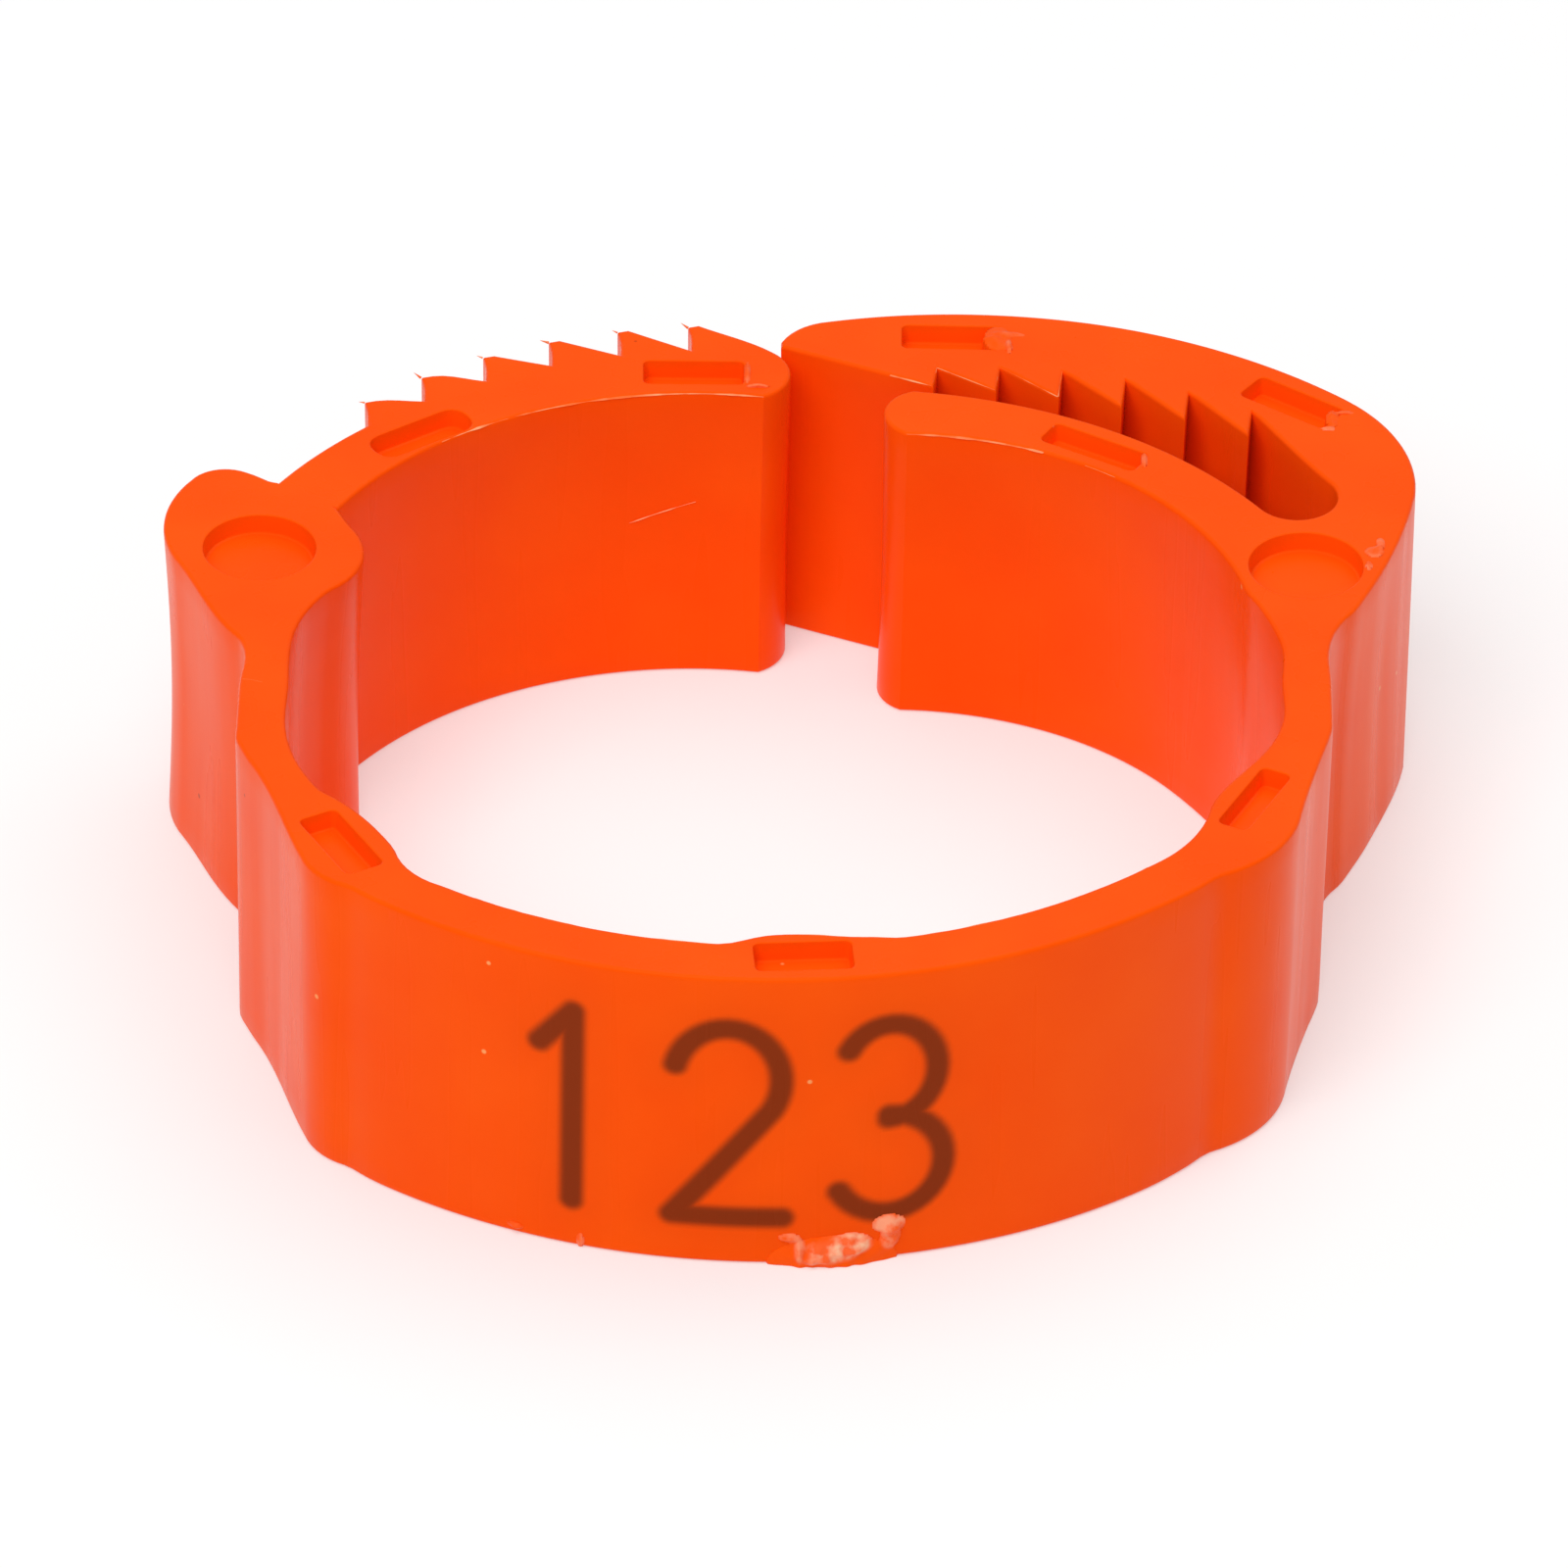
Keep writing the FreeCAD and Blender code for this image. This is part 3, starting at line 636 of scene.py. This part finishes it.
# ------------------------------------------------------------------------------------- jaw shoulder
# The thick corner where the right web, the hook and the lip meet round the closed end of the slot.
# The upper half of the right web is in one with it.


def straight_across(first, last):
    """A plain cut from one corner of a joint face to the other."""
    return [first, last]


def face_radius(points, centre):
    """The radius of the joint face round a flex line: the distance that most points share."""
    gaps = [round((point - centre).length, 2) for point in points]
    return max(set(gaps), key=gaps.count)


shoulder_outline = flat_loops("jaw_shoulder", 0.0)[0]
shoulder_outline = straighten(shoulder_outline, flex_line["right_close"], CUP,
                              up_the_web(right_web_cut))
joint_cuts = {}
for name in ("hook_flex", "lip_flex"):
    centre = flex_line[name]
    radius = face_radius(shoulder_outline, centre)
    on_face = [p for p in shoulder_outline if abs((p - centre).length - radius) < ON_FACE]
    shoulder_outline = straighten(shoulder_outline, centre, radius, straight_across)
    joint_cuts[name] = [p for p in on_face if p in shoulder_outline]
shoulder = moulded_wall("jaw_shoulder_with_web", shoulder_outline,
                        [right_web_cut, *joint_cuts.values()], waist=0.1, draft=DRAFT)
sink_marks(shoulder, flat_loops("jaw_shoulder", MARK_FLOOR))
finish_piece(shoulder, PLASTIC)
bend(shoulder)
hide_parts("jaw_shoulder", "right_hinge_web")

# ----------------------------------------------------------------------------------------- hook arm
# The outer jaw: a springy hook, thick at its back and pointed at its lead-in, with six teeth inside
# that catch the tongue's. It gives a little at its root each time a tooth rides over another.


def spring_arm(name, node, joint, waist):
    """An arm that springs from the shoulder: its wall from the cut and its marks, baked in place.
    """
    cut = joint_cuts[joint]
    centre = flex_line[joint]
    points = flat_loops(node, 0.0)[0]
    radius = face_radius(points, centre)

    def to_cut(first, last):
        return sorted(cut, key=lambda p: (p - first).length)

    points = straighten(points, centre, radius, to_cut)
    arm = moulded_wall(name, points, [cut], waist=waist)
    sink_marks(arm, flat_loops(node, MARK_FLOOR))
    finish_piece(arm, PLASTIC)
    middle_of_cut = (cut[0] + cut[1]) / 2
    way = Vector((cut[0].y - cut[1].y, cut[1].x - cut[0].x)).normalized()
    centroid = sum(points, Vector((0.0, 0.0))) / len(points)
    if way.dot(centroid - middle_of_cut) < 0:
        way = -way
    bend(arm)
    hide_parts(node)


spring_arm("hook_arm_with_teeth", "hook_arm", "hook_flex", 0.06)

# ---------------------------------------------------------------------------------------- inner lip
# The inner jaw: a smooth springy finger that keeps the tongue pressed out onto the hook's teeth. It
# is in one with the shoulder, and gives way inwards at its root when the tongue comes in.

spring_arm("inner_lip_finger", "inner_lip", "lip_flex", 0.05)

# ---------------------------------------------------------------------------------------- gate stub
# Where the moulding was twisted off its runner: a low swelling at the panel's foot with two torn
# lobes and a few crumbs. The plastic was stretched there until it went pale, and it tore shiny; the
# pale is partly that whitening and partly a painted highlight on the lobes' crowns.

# how finely torn plastic is drawn, how deep its skin goes into the wall, and its crumples
TORN_STEP = 0.05
TORN_DEPTH = 0.6
CRUMPLE_WIDTH = 0.22
CRUMPLE_HEIGHT = 0.07
# along the face, height, half length, half height, how far it stands out, how pale it is: stress
# whitening with a painted highlight
GATE_SPOTS = [
    (2.0, 0.05, 1.8, 0.85, 0.24, 0.0),
    (2.0, 0.42, 0.75, 0.34, 0.1, 0.7),
    (2.45, 0.58, 0.6, 0.32, 0.12, 0.9),
    (3.35, 1.02, 0.5, 0.34, 0.14, 0.55),
    (3.4, 0.7, 0.3, 0.45, 0.13, 0.6),
    (1.2, 0.45, 0.14, 0.4, 0.09, 0.4),
    (0.95, 0.78, 0.34, 0.16, 0.1, 0.3),
    (1.5, 0.2, 0.3, 0.14, 0.06, 0.35),
]
EDGE_CRUMBS = [
    (-5.75, 0.22, 0.28, 0.12, 0.1, 0.3),
    (-4.1, 0.2, 0.14, 0.26, 0.1, 0.35),
]


def pale_with_painted_highlight(name):
    """Polypropylene that was drawn out until it tore: pale, partly from stress whitening and partly
    as a painted highlight, shiny, uneven, orange at its foot.
    """
    material = bpy.data.materials.new(name)
    material.use_nodes = True
    tree = material.node_tree
    tree.nodes.clear()
    place = add_node(tree, "ShaderNodeTexCoord").outputs["Object"]
    # tears about 0.35 mm long
    tear = add_node(tree, "ShaderNodeTexNoise", {"Vector": place}, Scale=1 / (0.35 * MM),
                    Detail=3.0)
    patchy = add_node(tree, "ShaderNodeMapRange", {"Value": tear.outputs["Fac"]},
                      From_Min=0.38, From_Max=0.62, To_Min=0.1, To_Max=1.0)
    # how pale each place is: partly stress whitening, partly a painted highlight
    drawn = add_node(tree, "ShaderNodeAttribute", attribute_name="pale_and_painted_highlight")
    share = add_node(tree, "ShaderNodeMath", {0: patchy.outputs[0], 1: drawn.outputs["Fac"]},
                     operation="MULTIPLY")
    # the pale colour is partly stress whitening and partly a painted highlight on the lobes' crowns
    colour = add_node(tree, "ShaderNodeMix", {0: share.outputs[0]}, data_type="RGBA")
    colour.inputs[6].default_value = ORANGE
    colour.inputs[7].default_value = linear("#FFC8A2")
    bump = add_node(tree, "ShaderNodeBump", {"Height": tear.outputs["Fac"]}, Strength=1.0,
                    Distance=0.02 * MM)
    shader = add_node(tree, "ShaderNodeBsdfPrincipled",
                      {"Base Color": colour.outputs[2], "Normal": bump.outputs[0]},
                      Roughness=0.34, IOR=1.49, Specular_IOR_Level=0.2,
                      Specular_Tint=linear("#FFB080"))
    add_node(tree, "ShaderNodeOutputMaterial", {"Surface": shader.outputs[0]})
    return material


TORN_WITH_PAINTED_HIGHLIGHT = pale_with_painted_highlight("stress_whitened_polypropylene")


def on_panel(along, height, out):
    """A place on the panel's outer face, from its distance along the face and its height."""
    turn = along / panel_radius - math.pi / 2
    flat = PANEL_CENTRE + Vector((math.cos(turn), math.sin(turn))) * (panel_radius + out)
    return Vector((flat.x, flat.y, height))


def torn_patch(name, spots, place_at, body):
    """A closed, crumpled skin over a few overlapping bumps, sunk into the face between them."""
    # a patch at the foot of a wall ends at the lower face
    lows = [max(0.0, min(spot[1] - spot[3] for spot in spots))]
    lows.insert(0, min(spot[0] - spot[2] for spot in spots))
    highs = [max(spot[i] + spot[i + 2] for spot in spots) for i in (0, 1)]
    wide, high = (round((high - low) / TORN_STEP) + 1 for low, high in zip(lows, highs))
    mesh = bmesh.new()
    pale_and_highlight_layer = mesh.verts.layers.float.new("pale_and_painted_highlight")
    front, rear, covers = [], [], []
    for j in range(high):
        for i in range(wide):
            u = lows[0] + i * TORN_STEP
            v = lows[1] + j * TORN_STEP
            crumple = noise.noise(Vector((u, v, len(spots))) / CRUMPLE_WIDTH)
            out, pale, cover = -0.02, 0.0, 0.0
            for at_u, at_v, half_u, half_v, proud, pale_and_highlight_level in spots:
                gap = ((u - at_u) / half_u) ** 2 + ((v - at_v) / half_v) ** 2
                swell = max(0.0, 1 - gap) ** 1.4
                out += swell * (proud + CRUMPLE_HEIGHT * crumple)
                # paler towards each crown: partly stress whitening, partly painted highlight
                pale = max(pale, pale_and_highlight_level * min(1.0, 2.2 * swell))
                cover = max(cover, min(1.0, 8 * swell))
            out -= (TORN_DEPTH - 0.05) * (1 - cover)
            corner = mesh.verts.new(place_at(u, v, out) * MM)
            corner[pale_and_highlight_layer] = pale
            front.append(corner)
            rear.append(mesh.verts.new(place_at(u, v, -TORN_DEPTH) * MM))
            covers.append(cover)
    cells = []
    for j in range(high - 1):
        for k in range(j * wide, (j + 1) * wide - 1):
            cell = (k, k + 1, k + wide + 1, k + wide)
            if max(covers[c] for c in cell) > 0:
                cells.append(cell)
    sides = {side for cell in cells for side in zip(cell, cell[1:] + cell[:1])}
    for cell in cells:
        mesh.faces.new([front[c] for c in cell])
        mesh.faces.new([rear[c] for c in reversed(cell)])
    for a, b in sides:
        if (b, a) not in sides:
            mesh.faces.new((front[b], front[a], rear[a], rear[b]))
    loose = [corner for corner in mesh.verts if not corner.link_faces]
    bmesh.ops.delete(mesh, geom=loose, context="VERTS")
    bmesh.ops.recalc_face_normals(mesh, faces=mesh.faces)
    assert all(edge.is_manifold for edge in mesh.edges), name
    data = bpy.data.meshes.new(name)
    mesh.to_mesh(data)
    mesh.free()
    patch = bpy.data.objects.new(name, data)
    bpy.context.scene.collection.objects.link(patch)
    finish_piece(patch, TORN_WITH_PAINTED_HIGHLIGHT)
    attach(patch, body)
    return patch


stub = torn_patch("torn_gate_stub", GATE_SPOTS, on_panel, "panel")
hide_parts("gate_stub")
for number, crumb in enumerate(EDGE_CRUMBS):
    torn_patch("crumb_%d_at_panel_foot" % number, [crumb], on_panel, "panel")

# --------------------------------------------------------------------- flash, a nick and a scratch
# Where the mould's halves met, a film of plastic crept out along the upper edges: ragged and less
# than a tenth of a millimetre wide. Its pale orange is partly the thin film's own colour and partly
# a painted highlight along the rounded edges. A nick across the left web and a scratch inside the
# tongue raised the same thin film.


def new_tree(name, inputs):
    """An empty geometry tree with named inputs, and its two ends."""
    tree = bpy.data.node_groups.new(name, "GeometryNodeTree")
    tree.interface.new_socket("Geometry", in_out="INPUT", socket_type="NodeSocketGeometry")
    for label, kind in inputs:
        tree.interface.new_socket(label, in_out="INPUT", socket_type=kind)
    tree.interface.new_socket("Geometry", in_out="OUTPUT", socket_type="NodeSocketGeometry")
    return tree, add_node(tree, "NodeGroupInput"), add_node(tree, "NodeGroupOutput")


def close_tree(tree, start, end, geometry):
    """End a tree as every one ends here: real geometry with its plastic on."""
    real = add_node(tree, "GeometryNodeRealizeInstances", {"Geometry": geometry})
    coated = add_node(tree, "GeometryNodeSetMaterial",
                      {"Geometry": real.outputs[0], "Material": start.outputs["Material"]})
    tree.links.new(coated.outputs[0], end.inputs[0])


def grow(name, points, edges, tree, body, **values):
    """Run a tree on points or lines, keep the result as a plain mesh and ride it on a body."""
    data = bpy.data.meshes.new(name)
    data.from_pydata([point * MM for point in points], edges, [])
    piece = bpy.data.objects.new(name, data)
    bpy.context.scene.collection.objects.link(piece)
    growing = piece.modifiers.new("grow", "NODES")
    growing.node_group = tree
    for item in tree.interface.items_tree:
        label = item.name.lower().replace(" ", "_")
        if item.in_out == "INPUT" and label in values:
            growing[item.identifier] = values[label]
    depsgraph = bpy.context.evaluated_depsgraph_get()
    grown = bpy.data.meshes.new_from_object(piece.evaluated_get(depsgraph))
    piece.modifiers.clear()
    piece.data = grown
    smooth_walls(piece)
    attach(piece, body)


def flash_tree():
    """A flat ragged bead that follows a line, as wide as noise along the line makes it."""
    tree, start, end = new_tree("ragged_flash", [
        ("Width", "NodeSocketFloat"), ("Raggedness", "NodeSocketFloat"),
        ("Seed", "NodeSocketFloat"), ("Material", "NodeSocketMaterial")])
    line = add_node(tree, "GeometryNodeMeshToCurve", {"Mesh": start.outputs["Geometry"]})
    even = add_node(tree, "GeometryNodeResampleCurve", {"Curve": line.outputs[0]}, mode="LENGTH",
                    Length=0.07 * MM)
    level = add_node(tree, "GeometryNodeSetCurveNormal", {"Curve": even.outputs[0]},
                     mode="Z_UP")
    place = add_node(tree, "GeometryNodeInputPosition")
    ragged = add_node(tree, "ShaderNodeTexNoise",
                      {"Vector": place.outputs[0], "W": start.outputs["Seed"],
                       "Scale": start.outputs["Raggedness"]}, noise_dimensions="4D", Detail=3.0)
    share = add_node(tree, "ShaderNodeMapRange", {"Value": ragged.outputs["Fac"]},
                     From_Min=0.42, From_Max=0.72, To_Min=0.12, To_Max=1.0)
    width = add_node(tree, "ShaderNodeMath",
                     {0: share.outputs[0], 1: start.outputs["Width"]}, operation="MULTIPLY")
    ring = add_node(tree, "GeometryNodeCurvePrimitiveCircle", Resolution=6, Radius=1.0)
    flat = add_node(tree, "GeometryNodeTransform", {"Geometry": ring.outputs[0]},
                    Scale=(1.0, 0.4, 1.0))
    bead = add_node(tree, "GeometryNodeCurveToMesh",
                    {"Curve": level.outputs[0], "Profile Curve": flat.outputs[0],
                     "Scale": width.outputs[0]}, Fill_Caps=True)
    close_tree(tree, start, end, bead.outputs[0])
    return tree


# where the film's middle lies on the rounded edge: below the upper face, and in from the wall
FLASH_DROP = 0.035
FLASH_INSET = 0.03


def edge_line(outline, start, end):
    """The places along an outline's upper edge, anticlockwise from near one place to another."""
    points = fine_outline(outline)
    steps = inward_step(points, [])
    first, last = (
        min(range(len(points)), key=lambda i: (points[i] - Vector(place)).length)
        for place in (start, end)
    )
    chosen = [(first + k) % len(points) for k in range((last - first) % len(points) + 1)]
    height = BAND_HEIGHT - FLASH_DROP
    return [Vector((*(points[i] + steps[i] * FLASH_INSET), height)) for i in chosen]


def film_with_painted_highlight():
    """The same plastic where it is only a thin film, coloured paler: partly the film's own colour,
    partly a painted highlight along the rounded upper edges.
    """
    material = bpy.data.materials.new("thin_flash_polypropylene")
    material.use_nodes = True
    tree = material.node_tree
    tree.nodes.clear()
    place = add_node(tree, "ShaderNodeTexCoord").outputs["Object"]
    # paler and deeper places about 0.8 mm apart, the paler ones partly painted highlight
    film = add_node(tree, "ShaderNodeTexNoise", {"Vector": place}, Scale=1 / (0.8 * MM),
                    Detail=2.0)
    share = add_node(tree, "ShaderNodeMapRange", {"Value": film.outputs["Fac"]},
                     From_Min=0.4, From_Max=0.65)
    colour = add_node(tree, "ShaderNodeMix", {0: share.outputs[0]}, data_type="RGBA")
    # the pale end is partly a painted highlight along the rounded upper edges
    colour.inputs[6].default_value = linear("#FF6C22")
    colour.inputs[7].default_value = linear("#FFA873")
    shader = add_node(tree, "ShaderNodeBsdfPrincipled", {"Base Color": colour.outputs[2]},
                      Roughness=0.4, IOR=1.49, Specular_IOR_Level=0.3)
    add_node(tree, "ShaderNodeOutputMaterial", {"Surface": shader.outputs[0]})
    return material


# a pale film whose colour is partly a painted highlight along the edges it follows
FILM_WITH_PAINTED_HIGHLIGHT = film_with_painted_highlight()
ragged_flash = flash_tree()
lip_outline = flat_loops("inner_lip", 0.0)[0]
hook_outline = flat_loops("hook_arm", 0.0)[0]
FLASH_LINES = [
    # name, outline, from, to, width in mm, seed, body
    ("flash_on_tongue", tongue_outline, (-8.6, 9.2), (-0.7, 11.4), 0.07, 3.0, "tongue_arm"),
    ("flash_on_lip_tip", lip_outline, (2.9, 9.9), (6.2, 9.2), 0.075, 8.0, "lip"),
    ("flash_on_lip_root", lip_outline, (7.2, 8.7), (8.0, 8.2), 0.06, 21.0, "lip"),
    ("flash_on_hook_teeth", hook_outline, (2.4, 12.2), (6.7, 12.9), 0.05, 14.0, "hook"),
    # along the panel's inner upper edge this pale bead is a painted highlight on the rounded edge
    ("flash_on_panel", panel_outline, (8.6, -8.0), (-7.4, -10.0), 0.04, 5.0, "panel"),
]
# how far apart the ragged places are, along the film and along the scratch
FLASH_RAGGED = 0.9
SCRATCH_RAGGED = 0.5


def chain(count):
    """The edges that join this many points in a row."""
    return [(i, i + 1) for i in range(count - 1)]


for name, outline, start, end, width, seed, body in FLASH_LINES:
    line = edge_line(outline, start, end)
    grow(name, line, chain(len(line)), ragged_flash, body, width=width * MM,
         raggedness=1 / (FLASH_RAGGED * MM), seed=seed, material=FILM_WITH_PAINTED_HIGHLIGHT)

# the nick bows towards the panel as it crosses the web
NICK_START = (-13.15, -1.2)
NICK_STEP = 0.12
NICK_BOW = 0.0075
nick = [
    Vector((NICK_START[0] + NICK_STEP * k, NICK_START[1] - NICK_BOW * k * k, BAND_HEIGHT))
    for k in range(5)
]
grow("nick_across_left_web", nick, chain(len(nick)), ragged_flash, "left_web",
     width=0.045 * MM, raggedness=1 / (FLASH_RAGGED * MM), seed=2.0, material=FILM_WITH_PAINTED_HIGHLIGHT)

# the scratch climbs as it runs along the tongue's inner face, half sunk in it
SCRATCH_START = (-4.0, 4.55)
SCRATCH_STEP = (0.2, 0.07)
SCRATCH_SINK = 0.03
INNER_FACE_TOP = 11.9
inner_face = [p for p in fine_outline(tongue_outline) if p.y < INNER_FACE_TOP]
scratch = []
for k in range(9):
    x, height = (start + step * k for start, step in zip(SCRATCH_START, SCRATCH_STEP))
    on_wall = min(inner_face, key=lambda p: abs(p.x - x))
    scratch.append(Vector((on_wall.x, on_wall.y + SCRATCH_SINK, height)))
grow("scratch_inside_tongue", scratch, chain(len(scratch)), ragged_flash, "tongue_arm",
     width=0.05 * MM, raggedness=1 / (SCRATCH_RAGGED * MM), seed=6.0, material=FILM_WITH_PAINTED_HIGHLIGHT)

# ------------------------------------------------------------- burrs on the teeth, tears by prints
# A small whisker of plastic on the tip of each tongue tooth, where it crept between two blocks of
# steel, and low torn spots beside five of the pin prints, where the plastic stuck to the pin.


def whisker_tree():
    """Small tapered whiskers on points, each turned and sized a little differently."""
    tree, start, end = new_tree("torn_whiskers", [
        ("Length", "NodeSocketFloat"), ("Thickness", "NodeSocketFloat"),
        ("Lean", "NodeSocketVector"), ("Spread", "NodeSocketFloat"), ("Seed", "NodeSocketInt"),
        ("Material", "NodeSocketMaterial")])
    cone = add_node(tree, "GeometryNodeMeshCone",
                    {"Depth": start.outputs["Length"], "Radius Bottom": start.outputs["Thickness"]},
                    Vertices=6, Side_Segments=3, Radius_Top=0.004 * MM)
    low = add_node(tree, "ShaderNodeVectorMath", {0: start.outputs["Lean"]}, operation="SUBTRACT")
    high = add_node(tree, "ShaderNodeVectorMath", {0: start.outputs["Lean"]}, operation="ADD")
    for node in (low, high):
        tree.links.new(start.outputs["Spread"], node.inputs[1])
    turn = add_node(tree, "FunctionNodeRandomValue",
                    {"Min": low.outputs[0], "Max": high.outputs[0], "Seed": start.outputs["Seed"]},
                    data_type="FLOAT_VECTOR")
    size = add_node(tree, "FunctionNodeRandomValue", {"Seed": start.outputs["Seed"]},
                    data_type="FLOAT")
    size.inputs[2].default_value, size.inputs[3].default_value = 0.55, 1.0
    spots = add_node(tree, "GeometryNodeInstanceOnPoints",
                     {"Points": start.outputs["Geometry"], "Instance": cone.outputs[0],
                      "Rotation": turn.outputs[0], "Scale": size.outputs[1]})
    close_tree(tree, start, end, spots.outputs[0])
    return tree


torn_whiskers = whisker_tree()
BURR_DROP = 0.05
tip_spots = [Vector((tip.x - HOOKED_TIP, tip.y, BAND_HEIGHT - BURR_DROP)) for tip in tooth_tips]
grow("burrs_on_tooth_tips", tip_spots, [], torn_whiskers, "tongue_arm", length=0.26 * MM,
     thickness=0.045 * MM, lean=(0.0, -1.2, 0.0), spread=0.35, seed=4, material=FILM_WITH_PAINTED_HIGHLIGHT)


def on_top(x, y, out):
    """A place on the upper face."""
    return Vector((x, y, BAND_HEIGHT + out))


PRINT_TEARS = [
    # name, body, spots: x, y, half widths, how far it stands up, how pale it is: stress whitening
    # with a painted highlight
    ("tear_by_hook_tip_print", "hook", [
        (5.1, 14.2, 0.42, 0.62, 0.09, 0.0), (5.5, 14.4, 0.42, 0.16, 0.07, 0.1),
        (5.38, 13.8, 0.12, 0.34, 0.09, 0.22)]),
    ("tear_by_hook_back_print", "hook", [
        (13.4, 10.95, 0.22, 0.45, 0.08, 0.0), (13.28, 10.5, 0.24, 0.12, 0.1, 0.4),
        (13.75, 11.25, 0.3, 0.12, 0.08, 0.15)]),
    ("tear_by_tongue_tip_print", "tongue_arm", [
        (-1.12, 12.45, 0.12, 0.6, 0.09, 0.15), (-0.85, 11.85, 0.4, 0.1, 0.09, 0.35)]),
    ("tear_by_lip_print", "lip", [(8.72, 8.95, 0.12, 0.42, 0.09, 0.15)]),
    ("tear_by_shoulder_print", "jaw", [
        (14.35, 5.2, 0.3, 0.3, 0.09, 0.25), (14.2, 4.6, 0.13, 0.24, 0.1, 0.5),
        (14.5, 5.55, 0.16, 0.34, 0.08, 0.2)]),
]
for name, body, spots in PRINT_TEARS:
    torn_patch(name, spots, on_top, body)

# -------------------------------------------------------------------------- floor, light and camera
# A plain pale table under two broad soft boxes and an even white room, and a long lens that looks
# down on the number. None of it belongs to the band.

# in metres: half the table's side, and how far it lies below the band so that the two don't flicker
FLOOR_HALF = 2.0
FLOOR_DROP = 0.00002
floor_mesh = bpy.data.meshes.new("floor")
corners = [(-1, -1), (1, -1), (1, 1), (-1, 1)]
floor_mesh.from_pydata([(x * FLOOR_HALF, y * FLOOR_HALF, -FLOOR_DROP) for x, y in corners],
                       [], [(0, 1, 2, 3)])
floor = bpy.data.objects.new("floor", floor_mesh)
bpy.context.scene.collection.objects.link(floor)
# matt white paper, with a glow of its own that keeps the shadows pale
PAPER_GLOW = 0.34
ROOM_LIGHT = 0.38
paper = bpy.data.materials.new("white_paper")
paper.use_nodes = True
paper_shader = paper.node_tree.nodes["Principled BSDF"]
paper_shader.inputs["Base Color"].default_value = linear("#D2D2D2")
paper_shader.inputs["Roughness"].default_value = 0.9
paper_shader.inputs["Emission Color"].default_value = (1.0, 1.0, 1.0, 1.0)
paper_shader.inputs["Emission Strength"].default_value = PAPER_GLOW
floor_mesh.materials.append(paper)

world = bpy.data.worlds.new("studio")
bpy.context.scene.world = world
world.use_nodes = True
room = world.node_tree.nodes["Background"]
room.inputs["Color"].default_value = (1.0, 1.0, 1.0, 1.0)
room.inputs["Strength"].default_value = ROOM_LIGHT


AIM = Vector((0.0, 0.5, 4.4)) * MM


def soft_light(name, place, aim, side, power):
    """A square soft box, in metres and watts, that looks at a point."""
    lamp = bpy.data.lights.new(name, "AREA")
    lamp.size, lamp.energy = side, power
    box = bpy.data.objects.new(name, lamp)
    box.location = place
    box.rotation_mode = "QUATERNION"
    box.rotation_quaternion = (Vector(aim) - Vector(place)).to_track_quat("-Z", "Y")
    bpy.context.scene.collection.objects.link(box)


soft_light("key_light", (-0.12, -0.25, 0.42), (0, 0, 0.004), 0.35, 1.42)
soft_light("top_light", (0.1, 0.15, 0.5), (0, 0, 0.004), 0.5, 1.02)

CAMERA_RISE = math.radians(35.5)
CAMERA_DISTANCE = 0.42
CAMERA_ROLL = math.radians(1.2)
back = Vector((0.0, -math.cos(CAMERA_RISE), math.sin(CAMERA_RISE)))
lens = bpy.data.cameras.new("camera")
lens.lens, lens.sensor_width, lens.clip_start = 395.0, 36.0, 0.01
camera = bpy.data.objects.new("camera", lens)
bpy.context.scene.collection.objects.link(camera)
camera.location = AIM + back * CAMERA_DISTANCE
camera.rotation_mode = "QUATERNION"
look = (-back).to_track_quat("-Z", "Y").to_matrix()
camera.rotation_quaternion = (look @ Matrix.Rotation(CAMERA_ROLL, 3, "Z")).to_quaternion()
bpy.context.scene.camera = camera
bpy.context.scene.view_settings.view_transform = "Standard"
